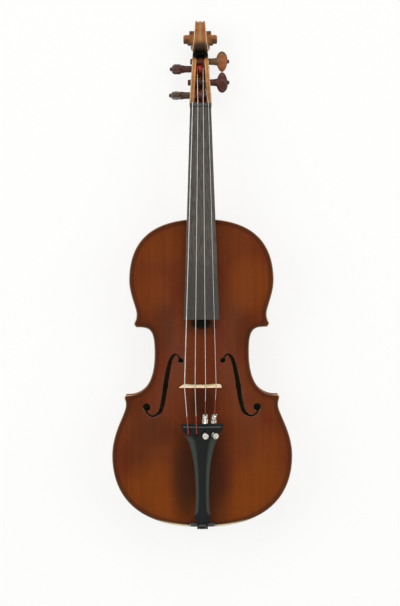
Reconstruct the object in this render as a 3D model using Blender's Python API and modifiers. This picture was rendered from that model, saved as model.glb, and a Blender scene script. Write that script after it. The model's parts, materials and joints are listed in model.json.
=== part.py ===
"""Small viola, built the way a luthier builds one.

The instrument lies on its back: +Z is the side of the strings, +Y runs from the lower bout
to the scroll, and +X is the treble side. Sizes are in millimetres and the scene is in
metres. Inside the model y = 0 is the lower edge of the body and z = 0 the crown of the back.
"""
import math

import bmesh
import bpy
from mathutils import Matrix, Vector
from mathutils.geometry import delaunay_2d_cdt

MM = 0.001

# Clearances
GLUE_GAP = 0.3          # between glued pieces
ARCH_GAP = 0.6          # between an arched plate and what stands on it or under it
RUNNING_GAP = 0.15      # radial, between a turning shaft and its hole

# Shortest stretch of an outline worth a point of its own
LEAST_EDGE = 1.0

# Length of a cutter that goes right through a fitting
CUT_THROUGH = 40.0

# Body, seen from the front
BODY_LENGTH = 370.0
LOWER_BOUT = 216.2
LOWER_BOUT_AT = 86.0
LOWER_WAIST = 182.8
LOWER_WAIST_AT = 146.4
MIDDLE_BOUT = 113.2
MIDDLE_BOUT_AT = 209.0
UPPER_WAIST = 156.0
UPPER_WAIST_AT = 256.0
UPPER_BOUT = 173.4
UPPER_BOUT_AT = 296.0
LOWER_CORNER_SPAN = 186.6
LOWER_CORNER_AT = 155.6
UPPER_CORNER_SPAN = 162.8
UPPER_CORNER_AT = 243.6
CORNER_WIDTH = 3.5
CORNER_TURN = 1.5
NECK_BUTTON_WIDTH = 24.0

# Body, seen from the side
RIB_HEIGHT = 34.0
RIB_THICKNESS = 1.2
OVERHANG = 2.5
EDGE_THICKNESS = 4.0
PLATE_THICKNESS = 3.2
BACK_ARCH = 15.0
TOP_ARCH = 16.0
ARCH_MARGIN = 8.0
HOLLOW_MARGIN = 11.0

# Linings, blocks, bar and post
LINING_THICKNESS = 2.0
LINING_HEIGHT = 7.5
CORNER_BLOCK_LENGTH = 21.0
END_BLOCK_DEPTH = 17.0
UPPER_BLOCK_WIDTH = 52.0
LOWER_BLOCK_WIDTH = 46.0
BLOCK_CHAMFER = 6.0
BASS_BAR_LENGTH = 282.0
BASS_BAR_THICKNESS = 5.0
BASS_BAR_DEPTH = 12.0
BASS_BAR_END_DEPTH = 3.0
BASS_BAR_OFFSET = 18.0
SOUND_POST_DIAMETER = 6.4
SOUND_POST_OFFSET = 19.0
SOUND_POST_BEHIND_BRIDGE = 5.0

# Sound holes
UPPER_EYE = (25.4, 200.0)
UPPER_EYE_DIAMETER = 6.4
LOWER_EYE = (66.6, 144.0)
LOWER_EYE_DIAMETER = 9.2
SOUND_HOLE_WIDTH = 5.4

# Neck and head
NECK_STOP = 135.2
NECK_SET = 9.0
OVERSTAND = 6.2
NECK_PITCH = math.radians(6.4)
NECK_ROOT_WIDTH = 33.6
NECK_THICKNESS_AT_NUT = 19.0
NECK_THICKNESS_AT_HEEL = 21.0
TENON_WIDTH = 23.0
HEEL_DEPTH = 15.0
NUT_LENGTH = 4.5
PEGBOX_LENGTH = 57.0
PEGBOX_WIDTH = 27.0
PEGBOX_THROAT_WIDTH = 19.4
PEGBOX_FLOOR = 5.4
MORTISE_WIDTH = 16.0
MORTISE_THROAT_WIDTH = 8.8
HEAD_LENGTH = 101.8
VOLUTE_RADII = (24.0, 22.8, 18.2, 13.8, 11.8, 10.3, 8.9, 7.7, 6.8, 6.1, 5.6)
VOLUTE_HALF_WIDTHS = (7.8, 6.0, 7.6, 9.5, 11.2, 12.6, 13.8, 15.2, 16.9, 18.6, 19.8)
EYE_SPAN = 41.0
EYE_RADIUS = 4.6

# Fingerboard and nut
FINGERBOARD_LENGTH = 256.0
FINGERBOARD_WIDTH = 42.2
FINGERBOARD_NUT_WIDTH = 25.3
FINGERBOARD_EDGE = 5.0
FINGERBOARD_RADIUS = 42.0
FINGERBOARD_HOLLOW = 3.0
NUT_RISE = 0.5

# Bridge and strings
BRIDGE_AT = 170.0
BRIDGE_OFFSET = -1.9
BRIDGE_WIDTH = 50.6
BRIDGE_FOOT_THICKNESS = 4.8
BRIDGE_TOP_THICKNESS = 1.6
BRIDGE_STRING_SPAN = 37.3
NUT_STRING_SPAN = 19.0
BRIDGE_RADIUS = 42.0
STRING_NAMES = ("c", "g", "d", "a")
STRING_DIAMETERS = (1.2, 0.95, 0.85, 0.7)
STRING_ACTIONS = (5.6, 5.2, 4.8, 4.5)

# Tailpiece, its fret, saddle, gut and end button
TAILPIECE_LENGTH = 119.4
TAILPIECE_BOTTOM_AT = 5.9
TAILPIECE_WIDTH = 50.0
TAILPIECE_WAIST = 16.0
TAILPIECE_BOTTOM_WIDTH = 19.6
TAILPIECE_BOTTOM_HEIGHT = 10.5
TAILPIECE_PITCH = math.radians(10.6)
TAILPIECE_DEPTH = 4.6
KEYHOLE_DIAMETER = 4.6
KEYHOLE_INSET = 12.6
KEYHOLE_SPAN = 29.4
KEYHOLE_OFFSET = -1.6
FRET_INSET = 3.4
FRET_HEIGHT = 1.6
FRET_WIDTH = 1.8
SADDLE_WIDTH = 29.5
SADDLE_DEPTH = 5.0
SADDLE_HEIGHT = 6.5
GUT_DIAMETER = 2.0
GUT_SPACING = 10.8
END_BUTTON_DIAMETER = 13.0
END_BUTTON_LENGTH = 6.8
END_PIN_DIAMETER = 7.0

# Pegs: how far each is from the nut, its height over the back, its side and its turn at rest
PEG_STATIONS = {
    "c": (10.7, 29.5, -1, math.radians(90)),
    "a": (26.9, 23.5, 1, 0.0),
    "g": (43.6, 20.3, -1, math.radians(62)),
    "d": (53.3, 14.3, 1, 0.0),
}
PEG_DIAMETER = 8.4
PEG_TAPER = 1 / 30
PEG_REACH = 20.0
PEG_COLLAR_DIAMETER = 11.4
PEG_HEAD_LENGTH = 13.0
PEG_HEAD_WIDTH = 25.0
PEG_HEAD_THICKNESS = 8.4
PEG_PIP_DIAMETER = 3.4
PEG_STUB = 2.5
WINDING_LOOPS = 3
WINDING_POINTS = 24
WINDING_GAP = 0.5
LEAST_WINDING_GAP = 0.4
WINDING_SIDE_GAPS = {"c": 2.2, "g": 0.6, "d": 0.6, "a": 2.2}

# Fine tuners, each standing square to the tailpiece at its keyhole
TUNER_STRINGS = ("d", "a")
TUNER_WIDTH = 6.4
TUNER_PLATE = 1.6
TUNER_HEAD_DIAMETER = 7.4
TUNER_HEAD_HEIGHT = 4.2
TUNER_SHAFT_DIAMETER = 2.6
TUNER_COLLAR_DIAMETER = 5.6
TUNER_COLLAR_HEIGHT = 1.8
TUNER_TRAVEL = 3.0
TUNER_ARM = 2.4
TUNER_ARM_LENGTH = 17.0
TUNER_LEVER_WIDTH = 2.4
TUNER_PIN_DIAMETER = 1.2
TUNER_PIVOT_HEIGHT = 0.2
TUNER_EAR = 1.9
TUNER_HOOK_REACH = 6.0
TUNER_HOOK_HEIGHT = 4.4
TUNER_FORK_WIDTH = 5.4
TUNER_FORK_THICKNESS = 1.4
BALL_DIAMETER = 2.8
BALL_LENGTH = 3.0

# Places worked out from the sizes
BACK_GLUE_Z = BACK_ARCH
RIB_BOTTOM_Z = BACK_GLUE_Z + GLUE_GAP
RIB_TOP_Z = RIB_BOTTOM_Z + RIB_HEIGHT
TOP_GLUE_Z = RIB_TOP_Z + GLUE_GAP
TOP_EDGE_Z = TOP_GLUE_Z + EDGE_THICKNESS
BACK_EDGE_Z = BACK_GLUE_Z - EDGE_THICKNESS
TOP_CROWN_Z = TOP_GLUE_Z + TOP_ARCH
NUT_AT = BODY_LENGTH + NECK_STOP
PEGBOX_AT = NUT_AT + NUT_LENGTH
THROAT_AT = PEGBOX_AT + PEGBOX_LENGTH
SCROLL_TOP = PEGBOX_AT + HEAD_LENGTH
EYE_AT = SCROLL_TOP - VOLUTE_RADII[1]
EYE_Z = VOLUTE_RADII[0] + GLUE_GAP
MORTISE_START = PEGBOX_AT + GLUE_GAP
MORTISE_END = THROAT_AT + 4.6
FINGERBOARD_END = NUT_AT - FINGERBOARD_LENGTH
TAILPIECE_TOP_AT = TAILPIECE_BOTTOM_AT + TAILPIECE_LENGTH
SADDLE_TOP_Z = TOP_EDGE_Z + SADDLE_HEIGHT
TAILPIECE_BOTTOM_Z = TOP_EDGE_Z + TAILPIECE_BOTTOM_HEIGHT
END_BUTTON_Z = RIB_BOTTOM_Z + RIB_HEIGHT / 2
BODY_BACK_OFFSET = OVERHANG - END_BUTTON_LENGTH
SPAN_MIDDLE = (SCROLL_TOP + BODY_BACK_OFFSET) / 2

PART_COLLECTION = "viola"
CUTTER_COLLECTION = "viola_cutters"


def start_scene():
    """Empty the scene and make the two collections and the parent empty."""
    for old in list(bpy.data.objects):
        bpy.data.objects.remove(old)
    for name in (PART_COLLECTION, CUTTER_COLLECTION):
        bpy.context.scene.collection.children.link(bpy.data.collections.new(name))
    centre = bpy.data.objects.new("viola_centre", None)
    centre.location = Vector((0, -SPAN_MIDDLE, 0)) * MM
    bpy.data.collections[PART_COLLECTION].objects.link(centre)
    return centre


def finish(name, colour, roughness, metallic=0.0):
    """A Principled material."""
    material = bpy.data.materials.new(name)
    material.use_nodes = True
    shader = material.node_tree.nodes["Principled BSDF"]
    shader.inputs["Base Color"].default_value = (*colour, 1.0)
    shader.inputs["Roughness"].default_value = roughness
    shader.inputs["Metallic"].default_value = metallic
    return material


CENTRE = start_scene()
FINISHES = {
    "varnish": ((0.20, 0.06, 0.02), 0.32, 0.0),
    "maple": ((0.42, 0.20, 0.08), 0.38, 0.0),
    "bare_spruce": ((0.72, 0.55, 0.33), 0.65, 0.0),
    "bridge_maple": ((0.80, 0.60, 0.38), 0.5, 0.0),
    "ebony": ((0.03, 0.03, 0.032), 0.35, 0.0),
    "rosewood": ((0.36, 0.13, 0.05), 0.35, 0.0),
    "steel": ((0.70, 0.70, 0.72), 0.25, 1.0),
    "nickel": ((0.72, 0.71, 0.68), 0.2, 1.0),
    "gut": ((0.05, 0.05, 0.05), 0.5, 0.0),
}


def add_object(name, data, look):
    """Put a mesh or curve in the model, as one named part with its own material."""
    data.materials.append(finish(name, *FINISHES[look]))
    part = bpy.data.objects.new(name, data)
    part.parent = CENTRE
    bpy.data.collections[PART_COLLECTION].objects.link(part)
    return part


def add_guide(name, data, owner=None):
    """Put a mesh among the cutters, hidden in renders."""
    guide = bpy.data.objects.new(name, data)
    guide.parent = owner if owner else CENTRE
    guide.hide_render = True
    guide.display_type = "WIRE"
    bpy.data.collections[CUTTER_COLLECTION].objects.link(guide)
    return guide


def boolean(part, guide, operation):
    """Cut or join a part with a guide, by a live modifier."""
    modifier = part.modifiers.new(guide.name, "BOOLEAN")
    modifier.object = guide
    modifier.operation = operation


def smooth(mesh, angle=40):
    """Shade a mesh smooth, apart from its sharp edges."""
    mesh.shade_smooth()
    mesh.set_sharp_from_angle(angle=math.radians(angle))


def mesh_of(name, points, faces, rounded=True):
    """A mesh from points in millimetres, with its faces turned outwards."""
    built = bmesh.new()
    corners = [built.verts.new(Vector(p) * MM) for p in points]
    for face in faces:
        built.faces.new([corners[i] for i in face])
    bmesh.ops.remove_doubles(built, verts=built.verts, dist=0.00001)
    bmesh.ops.recalc_face_normals(built, faces=built.faces)
    mesh = bpy.data.meshes.new(name)
    built.to_mesh(mesh)
    built.free()
    if rounded:
        smooth(mesh)
    return mesh


def loft_mesh(name, loops):
    """Skin a row of closed loops that have the same number of points, with flat ends."""
    count = len(loops[0])
    points = [p for loop in loops for p in loop]
    faces = [list(range(count)), [len(points) - count + i for i in range(count)]]
    for ring in range(len(loops) - 1):
        for i in range(count):
            j = (i + 1) % count
            low = ring * count
            high = low + count
            faces.append([low + i, low + j, high + j, high + i])
    return mesh_of(name, points, faces)


def prism_mesh(name, outlines, low, high):
    """A flat outline with its holes, filled as a 2D curve and extruded from low to high in z."""
    curve = bpy.data.curves.new(name, "CURVE")
    curve.dimensions = "2D"
    curve.fill_mode = "BOTH"
    curve.extrude = (high - low) / 2 * MM
    for outline in outlines:
        spline = curve.splines.new("POLY")
        spline.points.add(len(outline) - 1)
        for point, (x, y) in zip(spline.points, outline):
            point.co = (x * MM, y * MM, 0, 1)
        spline.use_cyclic_u = True
    holder = bpy.data.objects.new(name, curve)
    bpy.context.scene.collection.objects.link(holder)
    ready = holder.evaluated_get(bpy.context.evaluated_depsgraph_get())
    mesh = bpy.data.meshes.new_from_object(ready)
    bpy.data.objects.remove(holder)
    bpy.data.curves.remove(curve)
    welded = bmesh.new()
    welded.from_mesh(mesh)
    bmesh.ops.remove_doubles(welded, verts=welded.verts, dist=0.00001)
    bmesh.ops.translate(welded, verts=welded.verts, vec=(0, 0, (low + high) / 2 * MM))
    bmesh.ops.recalc_face_normals(welded, faces=welded.faces)
    welded.to_mesh(mesh)
    welded.free()
    return mesh


def turn_mesh(mesh, turn):
    """Turn a mesh by a matrix, keeping its faces outwards."""
    mesh.transform(turn)
    mesh.update()
    return mesh


def turned_mesh(name, profile, ring=False):
    """The profile of a turned piece as edges: (radius, height) from top to bottom."""
    mesh = bpy.data.meshes.new(name)
    points = [(radius * MM, 0, height * MM) for radius, height in profile]
    edges = [(i, i + 1) for i in range(len(points) - 1)]
    if ring:
        edges.append((len(points) - 1, 0))
    mesh.from_pydata(points, edges, [])
    return mesh


def screw(part, steps):
    """Revolve a profile round its own z axis."""
    modifier = part.modifiers.new("turning", "SCREW")
    modifier.steps = steps
    modifier.render_steps = steps
    modifier.use_merge_vertices = True
    modifier.merge_threshold = 0.00001
    modifier.use_smooth_shade = True


def cylinder_mesh(name, radius, length, segments, radius_end=None):
    """A cylinder or cone about z, centred on its origin."""
    built = bmesh.new()
    far_radius = radius if radius_end is None else radius_end
    bmesh.ops.create_cone(built, cap_ends=True, segments=segments, radius1=radius * MM,
                          radius2=far_radius * MM, depth=length * MM)
    mesh = bpy.data.meshes.new(name)
    built.to_mesh(mesh)
    built.free()
    return mesh


def tube(name, points, diameter, look, sides_level):
    """A wire along points: a POLY curve with a round bevel and filled caps."""
    curve = bpy.data.curves.new(name, "CURVE")
    curve.dimensions = "3D"
    curve.bevel_depth = diameter / 2 * MM
    curve.bevel_resolution = sides_level
    curve.use_fill_caps = True
    spline = curve.splines.new("POLY")
    spline.points.add(len(points) - 1)
    for point, place in zip(spline.points, points):
        point.co = (*(Vector(place) * MM), 1)
    return add_object(name, curve, look)


def blend(a, b, share):
    """A value share of the way from a to b."""
    return a + (b - a) * share


def eased(share):
    """0 to 1 with level ends."""
    return share * share * (3 - 2 * share)


def through(stations, at):
    """Read a row of stations (place, value, value...) at a place, by straight lines."""
    for low, high in zip(stations[:-1], stations[1:]):
        if at <= high[0]:
            share = max(0.0, (at - low[0]) / (high[0] - low[0]))
            return [blend(a, b, share) for a, b in zip(low[1:], high[1:])]
    return list(stations[-1][1:])


def curve_through(points, steps):
    """A smooth curve through tuples of numbers, steps samples to a span."""
    rows = [Vector(p) for p in points]
    ends = [rows[0] * 2 - rows[1]] + rows + [rows[-1] * 2 - rows[-2]]
    out = []
    for before, a, b, after in zip(ends, ends[1:], ends[2:], ends[3:]):
        for step in range(steps):
            t = step / steps
            out.append(0.5 * (2 * a + (b - before) * t + (2 * before - 5 * a + 4 * b - after) * t * t
                              + (3 * a - before - 3 * b + after) * t ** 3))
    return out + [rows[-1]]


# The outline is three curves on the treble side, from the lower edge up to the neck. A knot is
# its place, the handle before it and the handle after it.
CORNER_LOWER = Vector((LOWER_CORNER_SPAN / 2, LOWER_CORNER_AT))
CORNER_UPPER = Vector((UPPER_CORNER_SPAN / 2, UPPER_CORNER_AT))
LOWER_KNOTS = (
    ((0, 0), (0, 0), (85, 0)),
    ((LOWER_BOUT / 2, LOWER_BOUT_AT), (0, -42), (0, 28.5)),
    ((LOWER_WAIST / 2, LOWER_WAIST_AT), (0, -10), (0, 5)),
    (tuple(CORNER_LOWER), (-1.3, -5), (0, 0)),
)
MIDDLE_KNOTS = (
    ((CORNER_LOWER.x - CORNER_TURN, CORNER_LOWER.y + CORNER_WIDTH - 0.3), (0, 0), (-25, -1.5)),
    ((MIDDLE_BOUT / 2, MIDDLE_BOUT_AT), (0, -31), (0, 29)),
    ((CORNER_UPPER.x - CORNER_TURN - 1.2, CORNER_UPPER.y - CORNER_WIDTH), (-17, 0.5), (0, 0)),
)
UPPER_KNOTS = (
    (tuple(CORNER_UPPER), (0, 0), (-0.65, 4.5)),
    ((UPPER_WAIST / 2, UPPER_WAIST_AT), (0, -7.5), (0, 7.5)),
    ((UPPER_BOUT / 2, UPPER_BOUT_AT), (0, -16), (0, 43)),
    ((0, BODY_LENGTH), (65, 0), (0, 0)),
)
LOWER_STEPS = (11, 6, 3)
MIDDLE_STEPS = (8, 9)
UPPER_STEPS = (3, 4, 10)


def section_of(knots, steps):
    """Sample the curves of a section: a list of (point, heading)."""
    out = []
    for (start, _, leave), (end, arrive, _), count in zip(knots, knots[1:], steps):
        a = Vector(start)
        b = a + Vector(leave)
        d = Vector(end)
        c = d + Vector(arrive)
        for step in range(count + 1):
            if step == 0 and out:
                continue
            t = step / count
            s = 1 - t
            point = a * s ** 3 + b * 3 * s * s * t + c * 3 * s * t * t + d * t ** 3
            heading = (b - a) * s * s + (c - b) * 2 * s * t + (d - c) * t * t
            out.append((point, heading.normalized()))
    return out


LOWER = section_of(LOWER_KNOTS, LOWER_STEPS)
MIDDLE = section_of(MIDDLE_KNOTS, MIDDLE_STEPS)
UPPER = section_of(UPPER_KNOTS, UPPER_STEPS)


def inset(section, distance):
    """The points of a section moved into the body, square to its heading."""
    return [p + Vector((-h.y, h.x)) * distance for p, h in section]


def mirrored(points):
    """The same points on the bass side."""
    return [Vector((-p[0], p[1])) for p in points]


def stretch(section, skip_start, skip_end):
    """The part of a section left when lengths of it are taken off at both ends."""
    lengths = [0.0]
    for (a, _), (b, _) in zip(section, section[1:]):
        lengths.append(lengths[-1] + (b - a).length)

    def at(length):
        for i in range(1, len(section)):
            if length <= lengths[i] or i == len(section) - 1:
                share = (length - lengths[i - 1]) / (lengths[i] - lengths[i - 1])
                point = section[i - 1][0].lerp(section[i][0], share)
                heading = section[i - 1][1].lerp(section[i][1], share).normalized()
                return (point, heading)

    last = lengths[-1] - skip_end
    inside = [s for s, length in zip(section, lengths) if skip_start + 1 < length < last - 1]
    return [at(skip_start)] + inside + [at(last)]


def mitre(first, second):
    """The line that halves a corner: a point on it and its direction into the body."""
    (a, heading_a), (b, heading_b) = first, second
    share = (b - a).cross(heading_b) / heading_a.cross(heading_b)
    return a + heading_a * share, (heading_b - heading_a).normalized()


LOWER_MITRE = mitre(LOWER[-1], MIDDLE[0])
UPPER_MITRE = mitre(MIDDLE[-1], UPPER[0])


def end_at_line(points, line, clearance):
    """Cut or lengthen a row of points so that it ends short of a line by a clearance."""
    origin, direction = line
    first_side = direction.cross(points[0] - origin)
    sign = 1 if first_side > 0 else -1

    def side(p):
        return sign * direction.cross(p - origin) - clearance

    kept = [points[0]]
    for p in points[1:]:
        if side(p) <= 0:
            break
        kept.append(p)
    ahead = points[len(kept)] - kept[-1] if len(kept) < len(points) else kept[-1] - kept[-2]
    end = kept[-1] - ahead * (side(kept[-1]) / (sign * direction.cross(ahead)))
    if (end - kept[-1]).length < LEAST_EDGE:
        kept.pop()
    return kept + [end]


def flat_part(name, outlines, low, high, look):
    """One flat piece of wood, as a part."""
    return add_object(name, prism_mesh(name, outlines, low, high), look)


# Arching: a plate rises from a line inside its edge to its crown.
def arch_line(margin):
    """Half widths of the arched area, as rows of (place, half width)."""
    knots = (
        ((0, margin), (0, 0), (62, 0)),
        ((LOWER_BOUT / 2 - margin, LOWER_BOUT_AT), (0, -40), (0, 50)),
        ((MIDDLE_BOUT / 2 - margin, MIDDLE_BOUT_AT), (0, -40), (0, 32)),
        ((UPPER_BOUT / 2 - margin, UPPER_BOUT_AT), (0, -24), (0, 38)),
        ((0, BODY_LENGTH - margin), (48, 0), (0, 0)),
    )
    return [(p.y, p.x) for p, _ in section_of(knots, (8, 8, 8, 8))]


ARCH_LINE = arch_line(ARCH_MARGIN)
HOLLOW_LINE = arch_line(HOLLOW_MARGIN)


def swell(x, y, line):
    """How far the arching has risen at a point, from 0 at its line to 1 at the crown."""
    along = (y - line[0][0]) / (line[-1][0] - line[0][0])
    if not 0 < along < 1:
        return 0.0
    width = through(line, y)[0]
    across = abs(x) / width if width else 1.0
    if across >= 1:
        return 0.0
    lengthwise = eased(1 - abs(2 * along - 1) ** 2.3)
    return lengthwise * (1 + math.cos(math.pi * across ** 1.3)) / 2


def top_outside(x, y):
    """Height of the top plate's outer face."""
    return TOP_EDGE_Z + (TOP_ARCH - EDGE_THICKNESS) * swell(x, y, ARCH_LINE)


def top_inside(x, y):
    """Height of the top plate's inner face."""
    return TOP_GLUE_Z + (TOP_ARCH - PLATE_THICKNESS) * swell(x, y, HOLLOW_LINE)


def back_outside(x, y):
    """Height of the back plate's outer face."""
    return BACK_EDGE_Z - (BACK_ARCH - EDGE_THICKNESS) * swell(x, y, ARCH_LINE)


def back_inside(x, y):
    """Height of the back plate's inner face."""
    return BACK_GLUE_Z - (BACK_ARCH - PLATE_THICKNESS) * swell(x, y, HOLLOW_LINE)


def inside_outline(outline, x, y):
    """Whether a point is inside a closed outline."""
    found = False
    for a, b in zip(outline, outline[1:] + outline[:1]):
        if (a[1] > y) != (b[1] > y) and x < a[0] + (b[0] - a[0]) * (y - a[1]) / (b[1] - a[1]):
            found = not found
    return found


def arching_points():
    """Points over the arched area: its line, and rows across it that are closer at the ends."""
    rows = 20
    points = []
    for row in range(1, rows):
        along = (1 - math.cos(math.pi * row / rows)) / 2
        y = blend(ARCH_LINE[0][0], ARCH_LINE[-1][0], along)
        width = through(ARCH_LINE, y)[0]
        for share in (-1, -0.8, -0.6, -0.4, -0.2, 0, 0.2, 0.4, 0.6, 0.8, 1):
            points.append((width * share, y))
    return points


def plate_mesh(name, outline, holes, upper_face, lower_face):
    """A carved plate: its outline and holes are meshed flat, then take the two faces' heights."""
    rings = [outline] + holes
    flat = [Vector(p[:2]) for ring in rings for p in ring]
    edges = []
    start = 0
    for ring in rings:
        edges += [(start + i, start + (i + 1) % len(ring)) for i in range(len(ring))]
        start += len(ring)
    clear = 2.0
    for point in arching_points():
        place = Vector(point)
        if inside_outline(outline, *point) and all((place - p).length > clear for p in flat[:start]):
            flat.append(place)
    verts, _, triangles, _, _, _ = delaunay_2d_cdt(flat, edges, [], 0, 0.0001)
    kept = []
    for triangle in triangles:
        x, y = (sum((verts[i] for i in triangle), Vector((0, 0))) / 3)[:]
        if inside_outline(outline, x, y) and not any(inside_outline(h, x, y) for h in holes):
            kept.append(list(triangle))
    count = len(verts)
    points = [(v.x, v.y, upper_face(v.x, v.y)) for v in verts]
    points += [(v.x, v.y, lower_face(v.x, v.y)) for v in verts]
    faces = kept + [[i + count for i in reversed(t)] for t in kept]
    sides = {}
    for triangle in kept:
        for a, b in zip(triangle, triangle[1:] + triangle[:1]):
            sides[(a, b)] = sides.get((a, b), 0) + 1
    for a, b in sides:
        if (b, a) not in sides:
            faces.append([b, a, a + count, b + count])
    used = sorted({i for face in faces for i in face})
    place_of = {old: new for new, old in enumerate(used)}
    return mesh_of(name, [points[i] for i in used], [[place_of[i] for i in f] for f in faces])


def body_outline():
    """The body's edge on the treble side."""
    return [p for section in (LOWER, MIDDLE, UPPER) for p, _ in section]


def sound_hole(side):
    """One sound hole: two round eyes and the long stem that joins them."""
    half = SOUND_HOLE_WIDTH / 2
    (ux, uy), (lx, ly) = UPPER_EYE, LOWER_EYE
    upper_radius = UPPER_EYE_DIAMETER / 2
    lower_radius = LOWER_EYE_DIAMETER / 2
    stem_x = (ux + lx) / 2
    stem_y = (uy + ly) / 2
    path = (
        (ux + 0.2, uy + upper_radius * 0.8, half * 0.35),
        (ux + 2.2, uy + upper_radius + 2.8, half * 0.38),
        (ux + 6.0, uy + upper_radius + 3.4, half * 0.5),
        (ux + 11.6, uy + 1.5, half * 0.82),
        (stem_x - 3.6, stem_y + 16, half),
        (stem_x - 2.0, stem_y - 3, half),
        (stem_x - 0.4, stem_y - 20, half),
        (lx - 17.2, ly - 4.2, half * 0.84),
        (lx - 11.5, ly - 9.0, half * 0.62),
        (lx - 6.0, ly - 9.9, half * 0.5),
        (lx - 0.6, ly - lower_radius - 2.4, half * 0.42),
        (lx + 1.2, ly - lower_radius * 0.7, half * 0.4),
    )
    line = curve_through(path, 2)
    left = []
    right = []
    for i, point in enumerate(line):
        ahead = line[min(i + 1, len(line) - 1)] - line[max(i - 1, 0)]
        normal = Vector((-ahead.y, ahead.x)).normalized() * point.z
        left.append((side * (point.x + normal.x), point.y + normal.y))
        right.append((side * (point.x - normal.x), point.y - normal.y))
    eyes = []
    for (ex, ey), radius in ((UPPER_EYE, upper_radius), (LOWER_EYE, lower_radius)):
        turns = [math.tau * i / 12 for i in range(12)]
        eyes.append([(side * ex + radius * math.cos(t), ey + radius * math.sin(t)) for t in turns])
    return eyes + [left + right[::-1]]


def make_plates():
    """The arched top with its sound holes and the arched back with its button."""
    edge = body_outline()
    heel_half = NECK_ROOT_WIDTH / 2 + GLUE_GAP
    tenon_half = TENON_WIDTH / 2 + GLUE_GAP
    heel_face = BODY_LENGTH - OVERHANG
    saddle_half = SADDLE_WIDTH / 2 + GLUE_GAP
    saddle_back = SADDLE_DEPTH + 2 * GLUE_GAP
    low_edge = [p for p in edge if p.y < BODY_LENGTH / 2]
    high_edge = [p for p in edge if p.y >= BODY_LENGTH / 2]
    saddle_start = through([(p.x, p.y) for p in low_edge[:6]], saddle_half)[0]
    heel_start = through([(-p.x, p.y) for p in high_edge[-6:]], -heel_half)[0]
    half = [Vector((0, saddle_back)), Vector((saddle_half, saddle_back)),
            Vector((saddle_half, saddle_start))]
    half += [p for p in low_edge if p.x > saddle_half + 1]
    half += [p for p in high_edge if p.x > heel_half + 1]
    half += [Vector((heel_half, heel_start)), Vector((heel_half, heel_face)),
             Vector((tenon_half, heel_face)),
             Vector((tenon_half, BODY_LENGTH - NECK_SET - GLUE_GAP))]
    outline = half + mirrored(half[:0:-1])
    holes = sound_hole(1) + sound_hole(-1)
    top = plate_mesh("top_plate", outline, holes, top_outside, top_inside)
    add_object("top_plate", top, "varnish")

    button_half = NECK_BUTTON_WIDTH / 2
    button_start = through([(-p.x, p.y) for p in high_edge[-6:]], -button_half)[0]
    half = [p for p in edge if p.x > button_half + 1 or p.y < BODY_LENGTH / 2]
    half.append(Vector((button_half, button_start)))
    for step in range(7):
        turn = math.pi / 2 * step / 6
        half.append(Vector((button_half * math.cos(turn),
                            BODY_LENGTH + 1 + button_half * math.sin(turn))))
    outline = half + mirrored(half[-2:0:-1])
    back = plate_mesh("back_plate", outline, [], back_inside, back_outside)
    add_object("back_plate", back, "maple")


def strip(outer, inner):
    """A closed outline from the outer and inner faces of a bent strip."""
    return outer + inner[::-1]


def rib_rows(section, distance, start_line, end_line):
    """A section's rib face, ended at the mitres or lines given."""
    points = inset(section, distance)
    half_gap = GLUE_GAP / 2
    if end_line:
        points = end_at_line(points, end_line, half_gap)
    if start_line:
        points = end_at_line(points[::-1], start_line, half_gap)[::-1]
    return points


def make_ribs():
    """Five ribs: one round the lower bouts, two in the waist and two round the upper bouts."""
    outer = OVERHANG
    inner = OVERHANG + RIB_THICKNESS
    low = [rib_rows(LOWER, d, None, LOWER_MITRE) for d in (outer, inner)]
    whole = [mirrored(row[:0:-1]) + row for row in low]
    lower = flat_part("lower_rib", [strip(*whole)], RIB_BOTTOM_Z, RIB_TOP_Z, "maple")
    pin_hole = cylinder_mesh("rib_pin_hole", END_PIN_DIAMETER / 2 + GLUE_GAP, 4 * OVERHANG, 20)
    turn_mesh(pin_hole, Matrix.Rotation(math.pi / 2, 4, "X"))
    guide = add_guide("rib_pin_hole", pin_hole)
    guide.location = Vector((0, OVERHANG, END_BUTTON_Z)) * MM
    boolean(lower, guide, "DIFFERENCE")
    heel_line = (Vector((TENON_WIDTH / 2 + GLUE_GAP / 2, 0)), Vector((0, 1)))
    for side, name in ((1, "treble"), (-1, "bass")):
        rows = [rib_rows(MIDDLE, d, LOWER_MITRE, UPPER_MITRE) for d in (outer, inner)]
        upper = [rib_rows(UPPER, d, UPPER_MITRE, heel_line) for d in (outer, inner)]
        if side < 0:
            rows = [mirrored(row) for row in rows]
            upper = [mirrored(row) for row in upper]
        flat_part(f"middle_rib_{name}", [strip(*rows)], RIB_BOTTOM_Z, RIB_TOP_Z, "maple")
        flat_part(f"upper_rib_{name}", [strip(*upper)], RIB_BOTTOM_Z, RIB_TOP_Z, "maple")


def make_linings():
    """Twelve strips that widen the gluing edge of the ribs, above and below."""
    faces = [OVERHANG + RIB_THICKNESS + GLUE_GAP]
    faces.append(faces[0] + LINING_THICKNESS)
    corner = CORNER_BLOCK_LENGTH + 2 * GLUE_GAP
    sections = {
        "lower": stretch(LOWER, LOWER_BLOCK_WIDTH / 2 + 2, corner + 2),
        "middle": stretch(MIDDLE, corner + 2, corner + 2),
        "upper": stretch(UPPER, corner + 2, UPPER_BLOCK_WIDTH / 2 + 2),
    }
    levels = {
        "back": (RIB_BOTTOM_Z, RIB_BOTTOM_Z + LINING_HEIGHT),
        "top": (RIB_TOP_Z - LINING_HEIGHT, RIB_TOP_Z),
    }
    for place, section in sections.items():
        rows = [inset(section, d) for d in faces]
        for level, (low, high) in levels.items():
            flat_part(f"{place}_{level}_lining_treble", [strip(*rows)], low, high, "bare_spruce")
            bass = [mirrored(row) for row in rows]
            flat_part(f"{place}_{level}_lining_bass", [strip(*bass)], low, high, "bare_spruce")


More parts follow.
